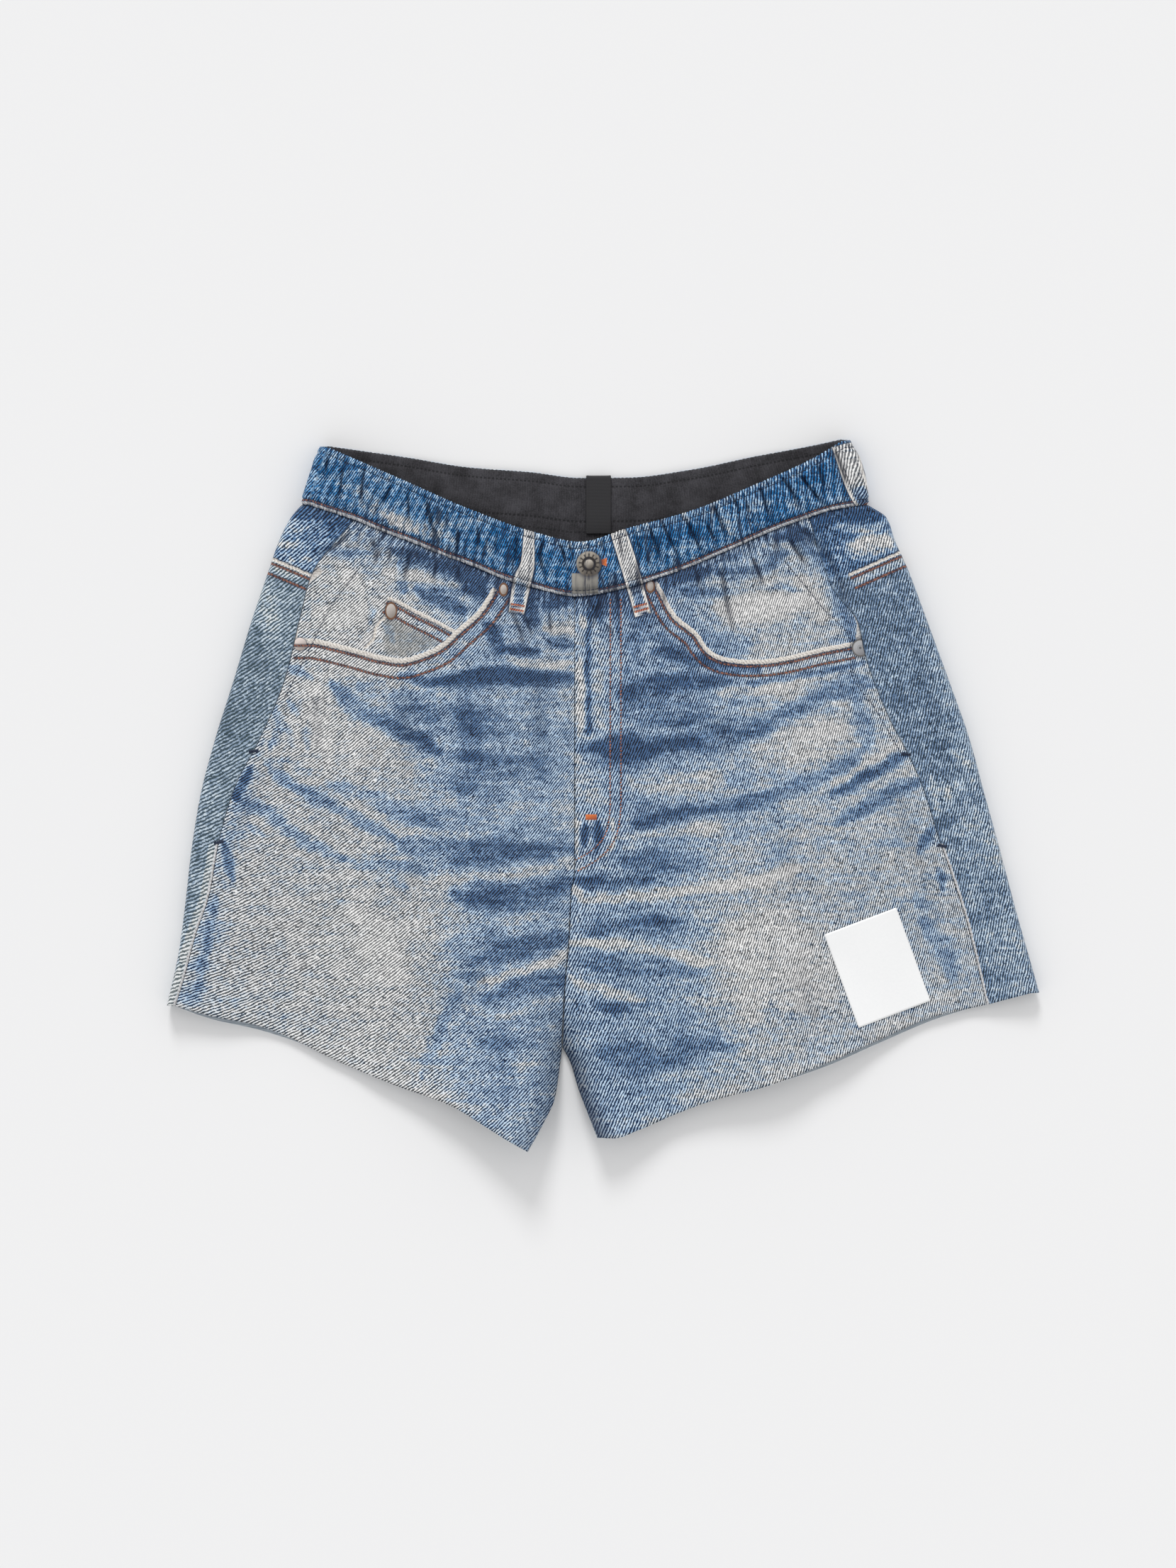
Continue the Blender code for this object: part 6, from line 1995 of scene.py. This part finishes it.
# %% Pocket topstitching and bartacks
RIGHT_OPENING_STITCH = ((-147.5, 136.0), (-166.0, 110.0), (-178.0, 86.0), (-192.2, 58.5))
LEFT_OPENING_STITCH = ((109.2, 141.0), (131.0, 114.0), (149.2, 90.7), (149.2, 77.0), (165.0, 50.0),
                       (180.6, 23.2))
OPENING_STITCH_LIFT = 0.05
OPENING_STRETCHES = 60
#            x, y, turn from +X in degrees
BARTACKS = ((-211.1, 25.8, 5.0), (-232.2, -29.2, 10.0), (182.8, 24.0, -5.0), (204.7, -31.4, -10.0))
BARTACK_SIZE = (5.4, 2.4)
BARTACK_THREADS = 13
BARTACK_THREAD_WIDTH = 0.55
BARTACK_LIFT = 0.12
BARTACK_SLANT = 0.16


def stitched_line(faces, leans, points):
    """A plan line laid on the cloth, as stitches."""
    path = drawn(points, OPENING_STRETCHES)
    heights, ups = on_cloth(path[:, 0], path[:, 1], faces, leans)
    return spaced(np.column_stack([path, heights]), ups, STITCH_PITCH)


runs = [stitched_line(right_front, right_leans, RIGHT_OPENING_STITCH),
        stitched_line(left_front, left_leans, LEFT_OPENING_STITCH)]
stitches("opening_topstitching", runs, OPENING_STITCH_LIFT, STITCH_LENGTH, STITCH_WIDTH)

bars = []
above = slice(0, FRONT_COLUMNS + FLAP_COLUMNS)
for x, y, degrees in BARTACKS:
    outer, inner = (right_outer, right_inner) if x < 0 else (left_outer, left_inner)
    over = outer[:, above]
    lean = face_normals(over, inner[:, above])
    angle = np.radians(degrees)
    offsets = np.linspace(-0.5, 0.5, BARTACK_THREADS) * BARTACK_SIZE[0]
    bar_x, bar_y = x + offsets * np.cos(angle), y + offsets * np.sin(angle)
    heights, ups = on_cloth(bar_x, bar_y, over, lean)
    slants = np.where(np.arange(BARTACK_THREADS) % 2, BARTACK_SLANT, -BARTACK_SLANT) + angle + TURN / 4
    forwards = np.stack([np.cos(slants), np.sin(slants), np.zeros(BARTACK_THREADS)], axis=1)
    forwards = unit(forwards - ups * np.sum(forwards * ups, axis=1, keepdims=True))
    bars.append((np.column_stack([bar_x, bar_y, heights]), forwards, ups))
stitches("bartacks", bars, BARTACK_LIFT, BARTACK_SIZE[1], BARTACK_THREAD_WIDTH)

# %% [markdown]
# ## Tie every piece to the model
#
# Nothing moves on the shorts, so all pieces ride on the one body. Each cloth piece stands in for its
# solid, which is hidden; a table gives the size of each cut, and one face's area is printed beside it.

# %% Ride and replace
SLOTS = {"front_right_cloth": ("front_right", "front_shell"),
         "front_left_cloth": ("front_left", "front_shell"),
         "back_right_cloth": ("back_right", "back_shell"),
         "back_left_cloth": ("back_left", "back_shell"),
         "waistband_cloth": ("waistband", "waistband_shell"),
         "waistband_lining_cloth": ("waistband_lining", "elastic_lining"),
         "pocket_bag_right_cloth": ("pocket_bag_right", "pocket_cloth"),
         "pocket_bag_left_cloth": ("pocket_bag_left", "pocket_cloth"),
         "inner_tab_cloth": ("inner_tab", "tab_woven"), "leg_label_film": ("leg_label", "label_coated")}
for name, (node, slot) in SLOTS.items():
    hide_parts(node)
for piece in pieces.values():
    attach(piece, "root")


def area_of(piece):
    """Half the wall's area in square metres: one face of the cloth."""
    areas = np.empty(len(piece.data.polygons))
    piece.data.polygons.foreach_get("area", areas)
    return areas.sum() / 2


#         the cut's width and length in metres, how it is held, what it rests on, its area
SHEETS = {"front_right_cloth": (0.235, 0.355, "laid", "back_right", 0.0625),
          "front_left_cloth": (0.245, 0.350, "laid", "back_left", 0.0625),
          "back_right_cloth": (0.320, 0.375, "laid", (), 0.096),
          "back_left_cloth": (0.320, 0.375, "laid", (), 0.094),
          "waistband_cloth": (0.760, 0.042, "gathered", "waistband_lining", None),
          "waistband_lining_cloth": (0.700, 0.044, "gathered", (), None),
          "pocket_bag_right_cloth": (0.085, 0.165, "laid", (), None),
          "pocket_bag_left_cloth": (0.090, 0.165, "laid", (), None),
          "inner_tab_cloth": (0.015, 0.042, "folded", "waistband_lining", None),
          "leg_label_film": (0.0467, 0.0604, "laid", "front_left", None)}
for name, (width, length, held, rests_on, area) in SHEETS.items():
    print(name, "one face, m2:", round(area_of(pieces[name]), 4), "of", round(width * length, 4))

# %% [markdown]
# ## Table, light and camera
#
# The table is a pale matt sheet. The light is a plain studio's: a wide soft key from beyond the
# waist and an even fill from all round, balanced so that a matt surface facing up shows its own
# colour.

# %% Table
FLOOR_SIZE = 8.0
FLOOR_COLOUR = (0.875, 0.875, 0.88, 1)
half = FLOOR_SIZE / 2
corners = [(-half, -half, 0), (half, -half, 0), (half, half, 0), (-half, half, 0)]
floor_mesh = bpy.data.meshes.new("table")
floor_mesh.from_pydata(corners, [], [(0, 1, 2, 3)])
floor_object = bpy.data.objects.new("table", floor_mesh)
bpy.context.collection.objects.link(floor_object)
floor_material = bpy.data.materials.new("pale table")
floor_material.use_nodes = True
floor_shader = floor_material.node_tree.nodes["Principled BSDF"]
floor_shader.inputs["Base Color"].default_value = FLOOR_COLOUR
floor_shader.inputs["Roughness"].default_value = 0.9
floor_shader.inputs["Specular IOR Level"].default_value = 0.1
floor_mesh.materials.append(floor_material)

# %% Light
FILL = 0.77
KEY_SHARE = 0.23
KEY_ELEVATION = 32.0
KEY_SOFTNESS = 18.0
KEY_TURN = 8.0
world = bpy.data.worlds.new("studio")
world.use_nodes = True
world.node_tree.nodes["Background"].inputs["Color"].default_value = (1, 1, 1, 1)
world.node_tree.nodes["Background"].inputs["Strength"].default_value = FILL
bpy.context.scene.world = world
key_light = bpy.data.lights.new("key", "SUN")
key_light.energy = KEY_SHARE * np.pi / np.sin(np.radians(KEY_ELEVATION))
key_light.angle = np.radians(KEY_SOFTNESS)
key_object = bpy.data.objects.new("key", key_light)
key_object.rotation_euler = (np.radians(KEY_ELEVATION - 90), 0, np.radians(KEY_TURN))
bpy.context.collection.objects.link(key_object)
bpy.context.scene.view_settings.view_transform = "Standard"

# %% Camera
CAMERA_HEIGHT = 3.0
FRAME_HEIGHT = 0.9512
LOOK_AT = (-0.0092, 0.0060)
camera_data = bpy.data.cameras.new("camera")
camera_data.sensor_width = 36.0
camera_data.lens = camera_data.sensor_width * CAMERA_HEIGHT / FRAME_HEIGHT
camera = bpy.data.objects.new("camera", camera_data)
camera.location = (*LOOK_AT, CAMERA_HEIGHT)
bpy.context.collection.objects.link(camera)
bpy.context.scene.camera = camera
